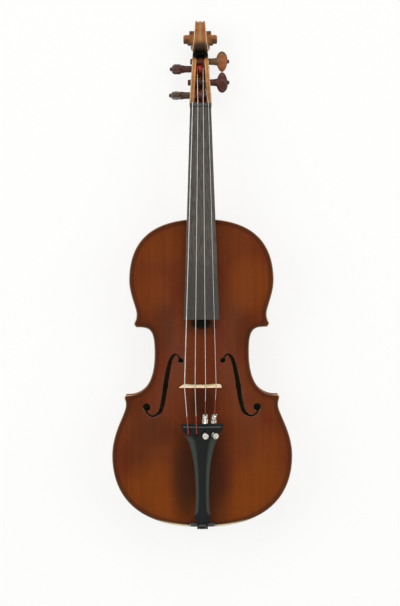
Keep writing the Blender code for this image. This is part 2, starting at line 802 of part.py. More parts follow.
def make_blocks():
    """The neck block, the end block and the four corner blocks."""
    face = OVERHANG + RIB_THICKNESS + GLUE_GAP
    lower_end = inset(stretch(LOWER, sum_length(LOWER) - CORNER_BLOCK_LENGTH, 0), face)
    middle_start = inset(stretch(MIDDLE, 0, sum_length(MIDDLE) - CORNER_BLOCK_LENGTH), face)
    middle_end = inset(stretch(MIDDLE, sum_length(MIDDLE) - CORNER_BLOCK_LENGTH, 0), face)
    upper_start = inset(stretch(UPPER, 0, sum_length(UPPER) - CORNER_BLOCK_LENGTH), face)
    lower = end_at_line(lower_end, LOWER_MITRE, 0)
    lower += end_at_line(middle_start[::-1], LOWER_MITRE, 0)[-2::-1]
    upper = end_at_line(middle_end, UPPER_MITRE, 0)
    upper += end_at_line(upper_start[::-1], UPPER_MITRE, 0)[-2::-1]
    for place, outline in (("lower", lower), ("upper", upper)):
        for side, points in (("treble", outline), ("bass", mirrored(outline))):
            flat_part(f"{place}_corner_block_{side}", [points], RIB_BOTTOM_Z, RIB_TOP_Z,
                      "bare_spruce")

    half_width = UPPER_BLOCK_WIDTH / 2
    tenon_half = TENON_WIDTH / 2 + GLUE_GAP
    tenon_end = BODY_LENGTH - NECK_SET - GLUE_GAP
    inner = BODY_LENGTH - OVERHANG - END_BLOCK_DEPTH
    rows = [p for p in inset(UPPER, face) if tenon_half + 1 < p.x < half_width - 1]
    top = inset(UPPER, face)
    reading = [(-p.x, p.y) for p in top[-8:]]
    half = [Vector((half_width - BLOCK_CHAMFER, inner))]
    half.append(Vector((half_width, inner + BLOCK_CHAMFER)))
    half.append(Vector((half_width, through(reading, -half_width)[0])))
    half += rows
    half.append(Vector((tenon_half, through(reading, -tenon_half)[0])))
    half.append(Vector((tenon_half, tenon_end)))
    flat_part("neck_block", [half + mirrored(half[::-1])], RIB_BOTTOM_Z, RIB_TOP_Z, "bare_spruce")

    half_width = LOWER_BLOCK_WIDTH / 2
    inner = OVERHANG + END_BLOCK_DEPTH
    bottom = inset(LOWER, face)
    reading = [(p.x, p.y) for p in bottom[:8]]
    half = [p for p in bottom if p.x < half_width - 1]
    half.append(Vector((half_width, through(reading, half_width)[0])))
    half.append(Vector((half_width, inner - BLOCK_CHAMFER)))
    half.append(Vector((half_width - BLOCK_CHAMFER, inner)))
    block = flat_part("end_block", [half + mirrored(half[:0:-1])], RIB_BOTTOM_Z, RIB_TOP_Z,
                      "bare_spruce")
    hole = cylinder_mesh("block_pin_hole", END_PIN_DIAMETER / 2 + GLUE_GAP, 3 * END_BLOCK_DEPTH, 20)
    turn_mesh(hole, Matrix.Rotation(math.pi / 2, 4, "X"))
    guide = add_guide("block_pin_hole", hole)
    guide.location = Vector((0, END_BLOCK_DEPTH, END_BUTTON_Z)) * MM
    boolean(block, guide, "DIFFERENCE")


def sum_length(section):
    """The length of a section's curve."""
    return sum((b - a).length for (a, _), (b, _) in zip(section, section[1:]))


def make_bar_and_post():
    """The bass bar under the top and the sound post between the plates."""
    middle = BODY_LENGTH / 2
    left = -BASS_BAR_OFFSET - BASS_BAR_THICKNESS / 2
    right = left + BASS_BAR_THICKNESS
    loops = []
    steps = 16
    for step in range(steps + 1):
        share = step / steps
        y = middle + BASS_BAR_LENGTH * (share - 0.5)
        top = min(top_inside(left, y), top_inside(right, y)) - 2 * ARCH_GAP
        depth = blend(BASS_BAR_END_DEPTH, BASS_BAR_DEPTH, math.sin(math.pi * share))
        loops.append([(left, y, top), (right, y, top), (right, y, top - depth),
                      (left, y, top - depth)])
    add_object("bass_bar", loft_mesh("bass_bar", loops), "bare_spruce")

    y = BRIDGE_AT - BRIDGE_FOOT_THICKNESS / 2 - SOUND_POST_BEHIND_BRIDGE
    radius = SOUND_POST_DIAMETER / 2
    near = SOUND_POST_OFFSET - radius
    far = SOUND_POST_OFFSET + radius
    low = max(back_inside(near, y), back_inside(far, y)) + ARCH_GAP
    high = min(top_inside(near, y), top_inside(far, y)) - ARCH_GAP
    mesh = cylinder_mesh("sound_post", radius, high - low, 20)
    smooth(mesh)
    post = add_object("sound_post", mesh, "bare_spruce")
    post.location = Vector((SOUND_POST_OFFSET, y, (low + high) / 2)) * MM


# The neck's gluing plane and the fingerboard on it
def neck_plane(y):
    """Height of the plane that the fingerboard is glued to."""
    return TOP_EDGE_Z + OVERSTAND - math.tan(NECK_PITCH) * (y - BODY_LENGTH)


def board_half(y):
    """Half the fingerboard's width at a place."""
    share = (NUT_AT - y) / FINGERBOARD_LENGTH
    return blend(FINGERBOARD_NUT_WIDTH, FINGERBOARD_WIDTH, share) / 2


def drop(radius, x):
    """How far a round surface has fallen at x from its crown."""
    return radius - math.sqrt(radius * radius - x * x)


def board_crown(y):
    """Height of the fingerboard's crown."""
    return (neck_plane(y) + GLUE_GAP + FINGERBOARD_EDGE + drop(FINGERBOARD_RADIUS, board_half(y)))


def make_fingerboard():
    """The fingerboard, round on top and hollow under its free end, and the nut."""
    free_from = BODY_LENGTH - NECK_SET - 2
    stations = [NUT_AT - GLUE_GAP, BODY_LENGTH, free_from, free_from - 8,
                blend(FINGERBOARD_END, free_from, 0.5), FINGERBOARD_END]
    loops = []
    for y in stations:
        half = board_half(y)
        under = neck_plane(y) + GLUE_GAP
        hollow = FINGERBOARD_HOLLOW if y < free_from - 1 else 0.0
        loop = [(half * s, y, board_crown(y) - drop(FINGERBOARD_RADIUS, half * s))
                for s in (-1, -0.7, -0.35, 0, 0.35, 0.7, 1)]
        for s in (1, 0.82, 0.45, 0, -0.45, -0.82, -1):
            lift = hollow * (1 - (s / 0.9) ** 2) if abs(s) < 0.9 else 0.0
            loop.append((half * s, y, under + lift))
        loops.append(loop)
    add_object("fingerboard", loft_mesh("fingerboard", loops), "ebony")

    half = FINGERBOARD_NUT_WIDTH / 2
    loops = []
    for y, height in ((NUT_AT, 0.0), (NUT_AT + NUT_LENGTH * 0.55, 0.0), (NUT_AT + NUT_LENGTH, -2.2)):
        top = board_crown(NUT_AT) + NUT_RISE + height
        loop = [(half * s, y, top - drop(FINGERBOARD_RADIUS, half * s))
                for s in (-1, -0.6, -0.3, 0, 0.3, 0.6, 1)]
        loop += [(half, y, neck_plane(y) + GLUE_GAP), (-half, y, neck_plane(y) + GLUE_GAP)]
        loops.append(loop)
    add_object("nut", loft_mesh("nut", loops), "ebony")


def string_rows():
    """Each string's place over the nut and over the bridge."""
    rows = {}
    last = len(STRING_NAMES) - 1
    nut_y = NUT_AT + NUT_LENGTH * 0.3
    for i, name in enumerate(STRING_NAMES):
        radius = STRING_DIAMETERS[i] / 2
        share = i / last - 0.5
        nut_x = NUT_STRING_SPAN * share
        bridge_x = BRIDGE_OFFSET + BRIDGE_STRING_SPAN * share
        nut_z = board_crown(NUT_AT) + NUT_RISE - drop(FINGERBOARD_RADIUS, nut_x) + GLUE_GAP + radius
        along = (nut_y - FINGERBOARD_END) / (nut_y - BRIDGE_AT)
        end_x = blend(nut_x, bridge_x, along)
        board_z = board_crown(FINGERBOARD_END) - drop(FINGERBOARD_RADIUS, end_x)
        bridge_z = nut_z + (board_z + STRING_ACTIONS[i] + radius - nut_z) / along
        rows[name] = (Vector((nut_x, nut_y, nut_z)), Vector((bridge_x, BRIDGE_AT, bridge_z)),
                      STRING_DIAMETERS[i])
    return rows


STRINGS = string_rows()


# Head stations past the nut: place after the pegbox's start, cheek edge and back line heights
# over the scroll's lowest point, taken between the nut and the throat.
def head_stations():
    """Rows of (y, front height, back height, half width, squareness) along neck and head."""
    heel_y = BODY_LENGTH - OVERHANG + GLUE_GAP
    under = BACK_GLUE_Z + GLUE_GAP
    button_half = TENON_WIDTH / 2
    root_half = NECK_ROOT_WIDTH / 2
    foot = BODY_LENGTH + HEEL_DEPTH
    bow = foot + 15
    waist = PEGBOX_AT - 17

    def back_of_neck(y):
        share = (y - bow) / (waist - bow)
        thickness = blend(NECK_THICKNESS_AT_HEEL, NECK_THICKNESS_AT_NUT, share)
        return board_crown(y) - thickness

    def half_of_neck(y):
        return board_half(y) - 0.2

    deep = back_of_neck(bow)
    rows = [
        (heel_y, neck_plane(heel_y), under, root_half, button_half, 7.0),
        (foot - 8, neck_plane(foot - 8), under, root_half - 0.4, button_half - 0.6, 5.0),
        (foot - 3, neck_plane(foot - 3), under + 0.8, root_half - 0.6, button_half - 2.4, 3.4),
        (foot, neck_plane(foot), blend(under, deep, 0.22), root_half - 0.8, button_half - 0.8, 2.8),
        (foot + 3, neck_plane(foot + 3), blend(under, deep, 0.55), root_half - 0.9, 12.4, 2.6),
        (foot + 8, neck_plane(foot + 8), blend(under, deep, 0.86), root_half - 1.1, 14.0, 2.3),
        (bow, neck_plane(bow), deep, half_of_neck(bow), half_of_neck(bow), 2.1),
    ]
    for y in (blend(bow, waist, 0.33), blend(bow, waist, 0.67), waist):
        rows.append((y, neck_plane(y), back_of_neck(y), half_of_neck(y), half_of_neck(y), 2.1))
    low = back_of_neck(waist)
    box_half = PEGBOX_WIDTH / 2
    edge = neck_plane(PEGBOX_AT)
    rows += [
        (NUT_AT - 6, neck_plane(NUT_AT - 6), low - 1.4, half_of_neck(NUT_AT), half_of_neck(NUT_AT), 2.2),
        (NUT_AT, neck_plane(NUT_AT), low - 4.4, box_half - 0.4, box_half - 0.4, 2.8),
        (PEGBOX_AT, edge, low - 8.8, box_half, box_half, 3.8),
    ]
    throat_half = PEGBOX_THROAT_WIDTH / 2
    throat_edge = EYE_Z - 0.6
    start_back = rows[-1][2]
    for along, share in ((5, 0.24), (10, 0.385), (17, 0.51), (29, 0.70), (41, 0.86)):
        y = PEGBOX_AT + along * PEGBOX_LENGTH / 51.6
        width = blend(box_half, throat_half, along / 51.6)
        front = blend(edge, throat_edge, along / 51.6)
        rows.append((y, front, blend(start_back, 0.9, share), width, width, 4.6))
    past = EYE_AT - THROAT_AT
    tip_half = VOLUTE_HALF_WIDTHS[0]
    rows += [
        (THROAT_AT, throat_edge, 2.5, throat_half, throat_half, 4.6),
        (THROAT_AT + past * 0.2, throat_edge - 5, 1.7, throat_half - 0.3, throat_half - 0.3, 4.2),
        (THROAT_AT + past * 0.5, throat_edge - 10, 0.9, blend(throat_half, tip_half, 0.5),
         blend(throat_half, tip_half, 0.5), 4.0),
        (EYE_AT, throat_edge - 12, 0.7, tip_half - 0.1, tip_half - 0.1, 4.0),
    ]
    return rows


HEAD_ROWS = head_stations()


def neck_loop(y, front, back, half_front, half_back, squareness, sides=14):
    """A flat-topped loop, from a half round at squareness 2 to a rounded box above 4."""
    loop = []
    power = 2 / squareness
    for step in range(sides + 1):
        turn = math.pi * step / sides
        down = math.sin(turn) ** power
        across = -math.copysign(abs(math.cos(turn)) ** power, math.cos(turn))
        half = blend(half_front, half_back, down)
        loop.append((half * across, y, blend(front, back, down)))
    return loop


def volute_mesh(name):
    """The scroll: a spiral ramp that narrows as it rises sideways to the eye, on both sides."""
    per_turn = 24
    table = [(i, r, w) for i, (r, w) in enumerate(zip(VOLUTE_RADII, VOLUTE_HALF_WIDTHS))]
    curve = curve_through(table, per_turn // 4)
    rows = [curve[0], curve[0]] + curve
    lead = len(rows) - len(curve)
    last = len(rows) - 1
    points = []
    for step, (_, radius, width) in enumerate(rows):
        turn = math.tau * (step - lead) / per_turn
        below = rows[step - per_turn].z if step >= per_turn else 0.0
        for x in (below, width):
            points.append((x, EYE_AT + radius * math.sin(turn), EYE_Z - radius * math.cos(turn)))
    centre = len(points)
    points.append((rows[last - per_turn].z, EYE_AT, EYE_Z))
    faces = []
    for step in range(last):
        foot = 2 * step
        faces.append([foot, foot + 2, foot + 3, foot + 1])
        above = 2 * (step + per_turn)
        if step + per_turn < last:
            faces.append([foot + 1, foot + 3, above + 2, above])
        elif step + per_turn == last:
            faces.append([foot + 1, foot + 3, centre, above])
        else:
            faces.append([foot + 1, foot + 3, centre])
    faces.append([centre, 2 * last + 1, 2 * last])
    half = len(points)
    points += [(-x, y, z) for x, y, z in points]
    faces += [[i + half for i in reversed(face)] for face in faces]
    faces.append([0, 1, 2 * per_turn, 2 * per_turn + half, 1 + half])
    faces.append([2 * per_turn - 2, 2 * per_turn, 2 * per_turn + half])
    return mesh_of(name, points, faces)


def make_neck():
    """Neck, pegbox and scroll in one piece, with the peg holes and the mortise cut."""
    tenon_half = TENON_WIDTH / 2
    heel_y = HEAD_ROWS[0][0]
    under = BACK_GLUE_Z + GLUE_GAP
    root = BODY_LENGTH - NECK_SET
    loops = [neck_loop(y, neck_plane(y), under, tenon_half, tenon_half, 40.0)
             for y in (root, heel_y - 0.05)]
    loops += [neck_loop(*row) for row in HEAD_ROWS]
    neck = add_object("neck", loft_mesh("neck", loops), "maple")
    boolean(neck, add_guide("volute", volute_mesh("volute")), "UNION")
    eye = turn_mesh(cylinder_mesh("volute_eye", EYE_RADIUS, EYE_SPAN, 20),
                    Matrix.Rotation(math.pi / 2, 4, "Y"))
    guide = add_guide("volute_eye", eye)
    guide.location = Vector((0, EYE_AT, EYE_Z)) * MM
    boolean(neck, guide, "UNION")

    loops = []
    backs = [(row[0], row[1], row[2]) for row in HEAD_ROWS]
    for share in (0.0, 0.09, 0.19, 0.43, 0.75, 1.0):
        y = blend(MORTISE_START, MORTISE_END, share)
        back = through(backs, y)[1]
        half = mortise_half(y)
        floor = back + (PEGBOX_FLOOR if share > 0.1 else blend(2.4, PEGBOX_FLOOR, share / 0.19))
        high = neck_plane(PEGBOX_AT) + 6
        loops.append([(-half, y, high), (half, y, high), (half, y, floor), (-half, y, floor)])
    boolean(neck, add_guide("mortise", loft_mesh("mortise", loops)), "DIFFERENCE")
    for name, (along, z, side, _) in PEG_STATIONS.items():
        reach = PEGBOX_WIDTH
        near = peg_radius(-reach) + RUNNING_GAP
        far = peg_radius(reach) + RUNNING_GAP
        hole = cylinder_mesh(f"peg_hole_{name}", near, 2 * reach, 20, far)
        turn_mesh(hole, Matrix.Rotation(side * math.pi / 2, 4, "Y"))
        guide = add_guide(f"peg_hole_{name}", hole)
        guide.location = Vector((0, PEGBOX_AT + along, z)) * MM
        boolean(neck, guide, "DIFFERENCE")


def peg_radius(along):
    """Radius of a peg's shaft, which swells towards its head."""
    return PEG_DIAMETER / 2 + (along - PEG_REACH) * PEG_TAPER / 2


def mortise_half(y):
    """Half the width of the mortise at a place."""
    share = (y - MORTISE_START) / (MORTISE_END - MORTISE_START)
    return blend(MORTISE_WIDTH, MORTISE_THROAT_WIDTH, share) / 2


def pegbox_half(y):
    """Half the pegbox's width at a place."""
    return blend(PEGBOX_WIDTH, PEGBOX_THROAT_WIDTH, (y - PEGBOX_AT) / PEGBOX_LENGTH) / 2


def make_pegs():
    """Four turned pegs, each with a flat thumb piece, about its own axis."""
    for name, (along, z, side, turn) in PEG_STATIONS.items():
        y = PEGBOX_AT + along
        tip = -pegbox_half(y) - PEG_STUB
        head_middle = PEG_REACH + PEG_HEAD_LENGTH / 2
        top = PEG_REACH + PEG_HEAD_LENGTH + PEG_PIP_DIAMETER * 0.7
        pip = PEG_PIP_DIAMETER / 2
        collar = PEG_COLLAR_DIAMETER / 2
        profile = [
            (0, top), (pip * 0.7, top - pip * 0.3), (pip, top - pip),
            (pip * 0.8, top - pip * 1.9), (PEG_HEAD_THICKNESS * 0.3, head_middle),
            (PEG_HEAD_THICKNESS * 0.36, PEG_REACH + 2.4), (collar * 0.94, PEG_REACH + 1.8),
            (collar, PEG_REACH + 0.6), (collar * 0.92, PEG_REACH - 1.0),
            (peg_radius(PEG_REACH), PEG_REACH - 1.6), (peg_radius(tip + 1), tip + 0.6),
            (peg_radius(tip) - 0.7, tip), (0, tip),
        ]
        peg = add_object(f"peg_{name}", turned_mesh(f"peg_{name}", profile), "rosewood")
        screw(peg, 16)
        peg.location = Vector((0, y, z)) * MM
        facing = Matrix.Rotation(side * math.pi / 2, 4, "Y") @ Matrix.Rotation(turn, 4, "Z")
        peg.rotation_euler = facing.to_euler()
        head = bmesh.new()
        bmesh.ops.create_uvsphere(head, u_segments=16, v_segments=8, radius=0.5)
        mesh = bpy.data.meshes.new(f"peg_head_{name}")
        head.to_mesh(mesh)
        head.free()
        mesh.transform(Matrix.Diagonal((PEG_HEAD_THICKNESS * MM, PEG_HEAD_WIDTH * MM,
                                        PEG_HEAD_LENGTH * MM, 1)))
        guide = add_guide(f"peg_head_{name}", mesh, peg)
        guide.location = Vector((0, 0, head_middle)) * MM
        boolean(peg, guide, "UNION")


def string_end_x(name):
    """How far towards its peg's head a string meets the peg, just inside the cheek."""
    along, _, _, _ = PEG_STATIONS[name]
    diameter = STRINGS[name][2]
    cheek = mortise_half(PEGBOX_AT + along + PEG_DIAMETER)
    return cheek - WINDING_SIDE_GAPS[name] - diameter / 2


def winding_points(name):
    """A string's turns round its peg: an even helix that starts beside the string's end."""
    along, z, side, _ = PEG_STATIONS[name]
    diameter = STRINGS[name][2]
    pitch = diameter + WINDING_GAP
    start = string_end_x(name) - pitch
    radius = peg_radius(start) + GLUE_GAP + diameter / 2
    points = []
    for step in range(WINDING_LOOPS * WINDING_POINTS + 1):
        loops = step / WINDING_POINTS
        turn = math.tau * loops
        points.append(Vector((side * (start - pitch * loops),
                              PEGBOX_AT + along + radius * math.sin(turn),
                              z + radius * math.cos(turn))))
    return points, radius


def least_gap(points, diameter):
    """The least gap between a winding's neighbouring turns, measured on its points."""
    gaps = []
    for i, point in enumerate(points):
        for other in points[i + WINDING_POINTS // 2:]:
            gaps.append((other - point).length - diameter)
    return min(gaps)


def make_windings():
    """The turns of each string round its peg."""
    for name in STRING_NAMES:
        points, _ = winding_points(name)
        diameter = STRINGS[name][2]
        gap = least_gap(points, diameter)
        print(f"winding_{name}: least gap to itself {gap:.2f} mm, wanted over {LEAST_WINDING_GAP}")
        tube(f"winding_{name}", points, diameter, "steel", 1)


def tailpiece_crown(y):
    """Height of the tailpiece's crown."""
    return TAILPIECE_BOTTOM_Z + math.tan(TAILPIECE_PITCH) * (y - TAILPIECE_BOTTOM_AT)


def tailpiece_row(share):
    """The tailpiece's half width, top radius, depth and underside rounding along its length."""
    full = TAILPIECE_WIDTH / 2
    waist = TAILPIECE_WAIST / 2
    bottom = TAILPIECE_BOTTOM_WIDTH / 2
    rows = (
        (0.0, bottom * 0.86, 13.0, 6.4, 0.0),
        (0.05, bottom, 13.0, 7.0, 0.0),
        (0.18, blend(waist, bottom, 0.28), 11.5, 7.6, 0.0),
        (0.32, waist, 11.0, 7.6, 0.0),
        (0.46, waist * 1.08, 11.5, 7.4, 0.05),
        (0.59, waist * 1.25, 13.0, 7.0, 0.15),
        (0.72, blend(waist, full, 0.285), 17.0, 6.4, 0.35),
        (0.80, blend(waist, full, 0.45), 23.0, 5.8, 0.55),
        (0.87, blend(waist, full, 0.66), 32.0, 5.2, 0.75),
        (0.94, blend(waist, full, 0.91), 40.0, TAILPIECE_DEPTH, 0.9),
        (0.975, full, 42.0, TAILPIECE_DEPTH, 0.92),
        (1.0, full * 0.985, 42.0, TAILPIECE_DEPTH, 0.92),
    )
    return through(rows, share), [row[0] for row in rows]


def tailpiece_top(x, y):
    """Height of the tailpiece's upper face."""
    (_, radius, _, _), _ = tailpiece_row((y - TAILPIECE_BOTTOM_AT) / TAILPIECE_LENGTH)
    return tailpiece_crown(y) - drop(radius, min(abs(x), radius * 0.95))


def tailpiece_under(x, y):
    """Height of the tailpiece's lower face."""
    (_, radius, depth, rounding), _ = tailpiece_row((y - TAILPIECE_BOTTOM_AT) / TAILPIECE_LENGTH)
    return tailpiece_crown(y) - depth - rounding * drop(radius, min(abs(x), radius * 0.95))


def keyhole_x(name):
    """Where a string's keyhole is across the tailpiece."""
    share = STRING_NAMES.index(name) / (len(STRING_NAMES) - 1) - 0.5
    return KEYHOLE_OFFSET + KEYHOLE_SPAN * share


KEYHOLE_AT = TAILPIECE_TOP_AT - KEYHOLE_INSET
FRET_AT = TAILPIECE_TOP_AT - FRET_INSET


def make_tailpiece():
    """The tailpiece with its keyholes, and the fret across its wide end."""
    _, shares = tailpiece_row(0)
    loops = []
    across = (-1, -0.93, -0.75, -0.5, -0.25, 0, 0.25, 0.5, 0.75, 0.93, 1)
    for share in shares:
        y = blend(TAILPIECE_BOTTOM_AT, TAILPIECE_TOP_AT, share)
        half = tailpiece_row(share)[0][0]
        loop = [(half * s, y, tailpiece_top(half * s, y)) for s in across]
        loop += [(half * s, y, tailpiece_under(half * s, y)) for s in across[::-1]]
        loops.append(loop)
    tailpiece = add_object("tailpiece", loft_mesh("tailpiece", loops), "ebony")
    for name in STRING_NAMES:
        hole = cylinder_mesh(f"keyhole_{name}", KEYHOLE_DIAMETER / 2, CUT_THROUGH, 16)
        guide = add_guide(f"keyhole_{name}", hole)
        guide.location = Vector((keyhole_x(name), KEYHOLE_AT, tailpiece_crown(KEYHOLE_AT))) * MM
        if name in TUNER_STRINGS:
            seat_part(guide, tuner_seat(name))
        boolean(tailpiece, guide, "DIFFERENCE")

    half = TAILPIECE_WIDTH / 2 - 2.5
    steps = 16
    row = [-half + 2 * half * i / steps for i in range(steps + 1)]
    loops = []
    for y in (FRET_AT - FRET_WIDTH / 2, FRET_AT + FRET_WIDTH / 2):
        high = [(x, y, fret_top(x)) for x in row]
        low = [(x, y, tailpiece_top(x, FRET_AT + FRET_WIDTH / 2) + GLUE_GAP) for x in row[::-1]]
        loops.append(high + low)
    add_object("tailpiece_fret", loft_mesh("tailpiece_fret", loops), "ebony")


def fret_top(x):
    """Height of the fret's upper edge."""
    return tailpiece_top(x, FRET_AT + FRET_WIDTH / 2) + GLUE_GAP + FRET_HEIGHT


def fret_place(name):
    """Where a string runs over the fret."""
    radius = STRINGS[name][2] / 2
    share = (FRET_AT - KEYHOLE_AT) / (BRIDGE_AT - KEYHOLE_AT)
    x = blend(keyhole_x(name), STRINGS[name][1].x, share)
    return (x, FRET_AT, fret_top(abs(x) - radius) + 1.5 * GLUE_GAP + radius)


def bridge_half(side):
    """One half of the bridge seen along the strings, from the crown down to the foot."""
    half_span = BRIDGE_STRING_SPAN / 2
    half_foot = BRIDGE_WIDTH / 2
    top = [(side * (p.x - BRIDGE_OFFSET), p.z - d / 2 - GLUE_GAP) for _, p, d in STRINGS.values()]
    crown = max(z + drop(BRIDGE_RADIUS, x) for x, z in top[1:3])
    inner_top, outer_top = (top[2], top[3]) if side > 0 else (top[1], top[0])
    height = crown - TOP_CROWN_Z
    ground = TOP_CROWN_Z

    def at(x, share):
        return (x, ground + height * share)

    near = half_foot - 11.5
    front = BRIDGE_AT + BRIDGE_FOOT_THICKNESS / 2
    back = BRIDGE_AT - BRIDGE_FOOT_THICKNESS / 2

    def floor(x):
        place = BRIDGE_OFFSET + side * x
        return max(top_outside(place, y) for y in (front, back, BRIDGE_AT)) + ARCH_GAP

    return [
        (0, crown), (inner_top[0], inner_top[1]), (half_span * 0.68, outer_top[1] + 2.6),
        outer_top, (half_span + 2.6, outer_top[1] - 1.6), (half_span + 2.2, outer_top[1] - 4.4),
        at(half_span - 1.6, 0.66), at(half_span - 4.4, 0.60), at(half_span - 4.2, 0.50),
        at(half_span - 1.4, 0.46), at(half_span + 2.6, 0.40), at(half_span + 3.6, 0.31),
        at(half_span + 1.2, 0.25), at(half_span - 1.6, 0.24), at(half_span - 0.6, 0.15),
        at(half_foot - 3.0, 0.07), (half_foot, floor(half_foot) + 2.0),
        (half_foot, floor(half_foot)), (near, floor(near)), (near, floor(near) + 2.2),
        at(near - 0.6, 0.14), at(near - 4.0, 0.22), at(near - 9.0, 0.27), at(0, 0.285),
    ]


def make_bridge():
    """The bridge: thick at its feet, thin at the strings, with its heart cut out."""
    right = bridge_half(1)
    left = bridge_half(-1)
    outline = right + [(-x, z) for x, z in left[-2:0:-1]]
    base = right[-1][1]
    span = right[0][1] - base
    heart = [(0, base + span * 0.30), (4.2, base + span * 0.44), (4.8, base + span * 0.54),
             (2.4, base + span * 0.60), (0, base + span * 0.53)]
    heart += [(-x, z) for x, z in heart[-2:0:-1]]
    mesh = prism_mesh("bridge", [outline, heart], -0.5, 0.5)
    turn_mesh(mesh, Matrix.Rotation(math.pi / 2, 4, "X"))
    feet_z = min(z for _, z in outline) * MM
    top_z = right[0][1] * MM
    for vertex in mesh.vertices:
        share = (vertex.co.z - feet_z) / (top_z - feet_z)
        thickness = blend(BRIDGE_FOOT_THICKNESS, BRIDGE_TOP_THICKNESS, share)
        back = BRIDGE_AT - BRIDGE_TOP_THICKNESS / 2 - (BRIDGE_FOOT_THICKNESS
                                                       - BRIDGE_TOP_THICKNESS) / 2 * (1 - share)
        vertex.co.y = (back + (thickness if vertex.co.y > 0 else 0)) * MM
        vertex.co.x += BRIDGE_OFFSET * MM
    add_object("bridge", mesh, "bridge_maple")


def make_strings():
    """Four strings, from their ends at the tailpiece over bridge and nut to the pegs."""
    for name in STRING_NAMES:
        nut, bridge, diameter = STRINGS[name]
        radius = diameter / 2
        if name in TUNER_STRINGS:
            ball = hook_place(name)
            clear = BALL_DIAMETER / 2 + GLUE_GAP
            tail = [tuple(ball + (bridge - ball).normalized() * clear)]
        else:
            x = keyhole_x(name)
            tail = [(x, KEYHOLE_AT + 0.6, tailpiece_under(x, KEYHOLE_AT) + 1.0),
                    (x, KEYHOLE_AT + 1.0, tailpiece_top(x, KEYHOLE_AT) + 0.8), fret_place(name)]
        along, z, side, _ = PEG_STATIONS[name]
        _, wind_radius = winding_points(name)
        peg_y = PEGBOX_AT + along
        start_x = side * string_end_x(name)
        rear = nut + Vector((0, NUT_LENGTH * 0.75, -1.1))
        reach = Vector((rear.y - peg_y, rear.z - z))
        lean = math.acos(wind_radius / reach.length)
        bearing = math.atan2(reach.y, reach.x) - lean
        end = (start_x, peg_y + wind_radius * math.cos(bearing), z + wind_radius * math.sin(bearing))
        points = tail + [tuple(bridge), tuple(nut), tuple(rear), end]
        tube(f"string_{name}", points, diameter, "steel", 1)


def tuner_seat(name):
    """A fine tuner's keyhole on the tailpiece, as a frame that is square to the surface there."""
    x = keyhole_x(name)
    (_, radius, _, _), _ = tailpiece_row((KEYHOLE_AT - TAILPIECE_BOTTOM_AT) / TAILPIECE_LENGTH)
    seat = Matrix.Translation((x, KEYHOLE_AT, tailpiece_top(x, KEYHOLE_AT)))
    return (seat @ Matrix.Rotation(TAILPIECE_PITCH, 4, "X")
            @ Matrix.Rotation(math.asin(x / radius), 4, "Y"))


def hook_place(name):
    """The middle of the ball end in a fine tuner's hook."""
    return tuner_seat(name) @ Vector((0, TUNER_ARM_LENGTH + TUNER_HOOK_REACH, TUNER_HOOK_HEIGHT))


def seated_heights(name, surface, half, start, end):
    """Heights of a face of the tailpiece over the seat, round a strip of it."""
    seat = tuner_seat(name)
    away = seat.inverted()
    heights = []
    for across in (-half, 0, half):
        for y in (start, (start + end) / 2, end):
            over = seat @ Vector((across, y, 0))
            heights.append((away @ Vector((over.x, over.y, surface(over.x, over.y)))).z)
    return heights


def side_mesh(name, outline, width):
    """A flat piece standing along the strings: (y, z) points given a width across x."""
    mesh = prism_mesh(name, [outline], -width / 2, width / 2)
    turn = Matrix(((0, 0, 1, 0), (1, 0, 0, 0), (0, 1, 0, 0), (0, 0, 0, 1)))
    return turn_mesh(mesh, turn)


def cross_pin(name, diameter, length, y, z):
    """A round pin or bore that lies across the strings."""
    mesh = turn_mesh(cylinder_mesh(name, diameter / 2, length, 12), Matrix.Rotation(math.pi / 2, 4, "Y"))
    return turn_mesh(mesh, Matrix.Translation(Vector((0, y, z)) * MM))


def seat_part(part, seat):
    """Stand a part at its seat on the tailpiece."""
    part.location = seat.translation * MM
    part.rotation_euler = seat.to_euler()
    return part


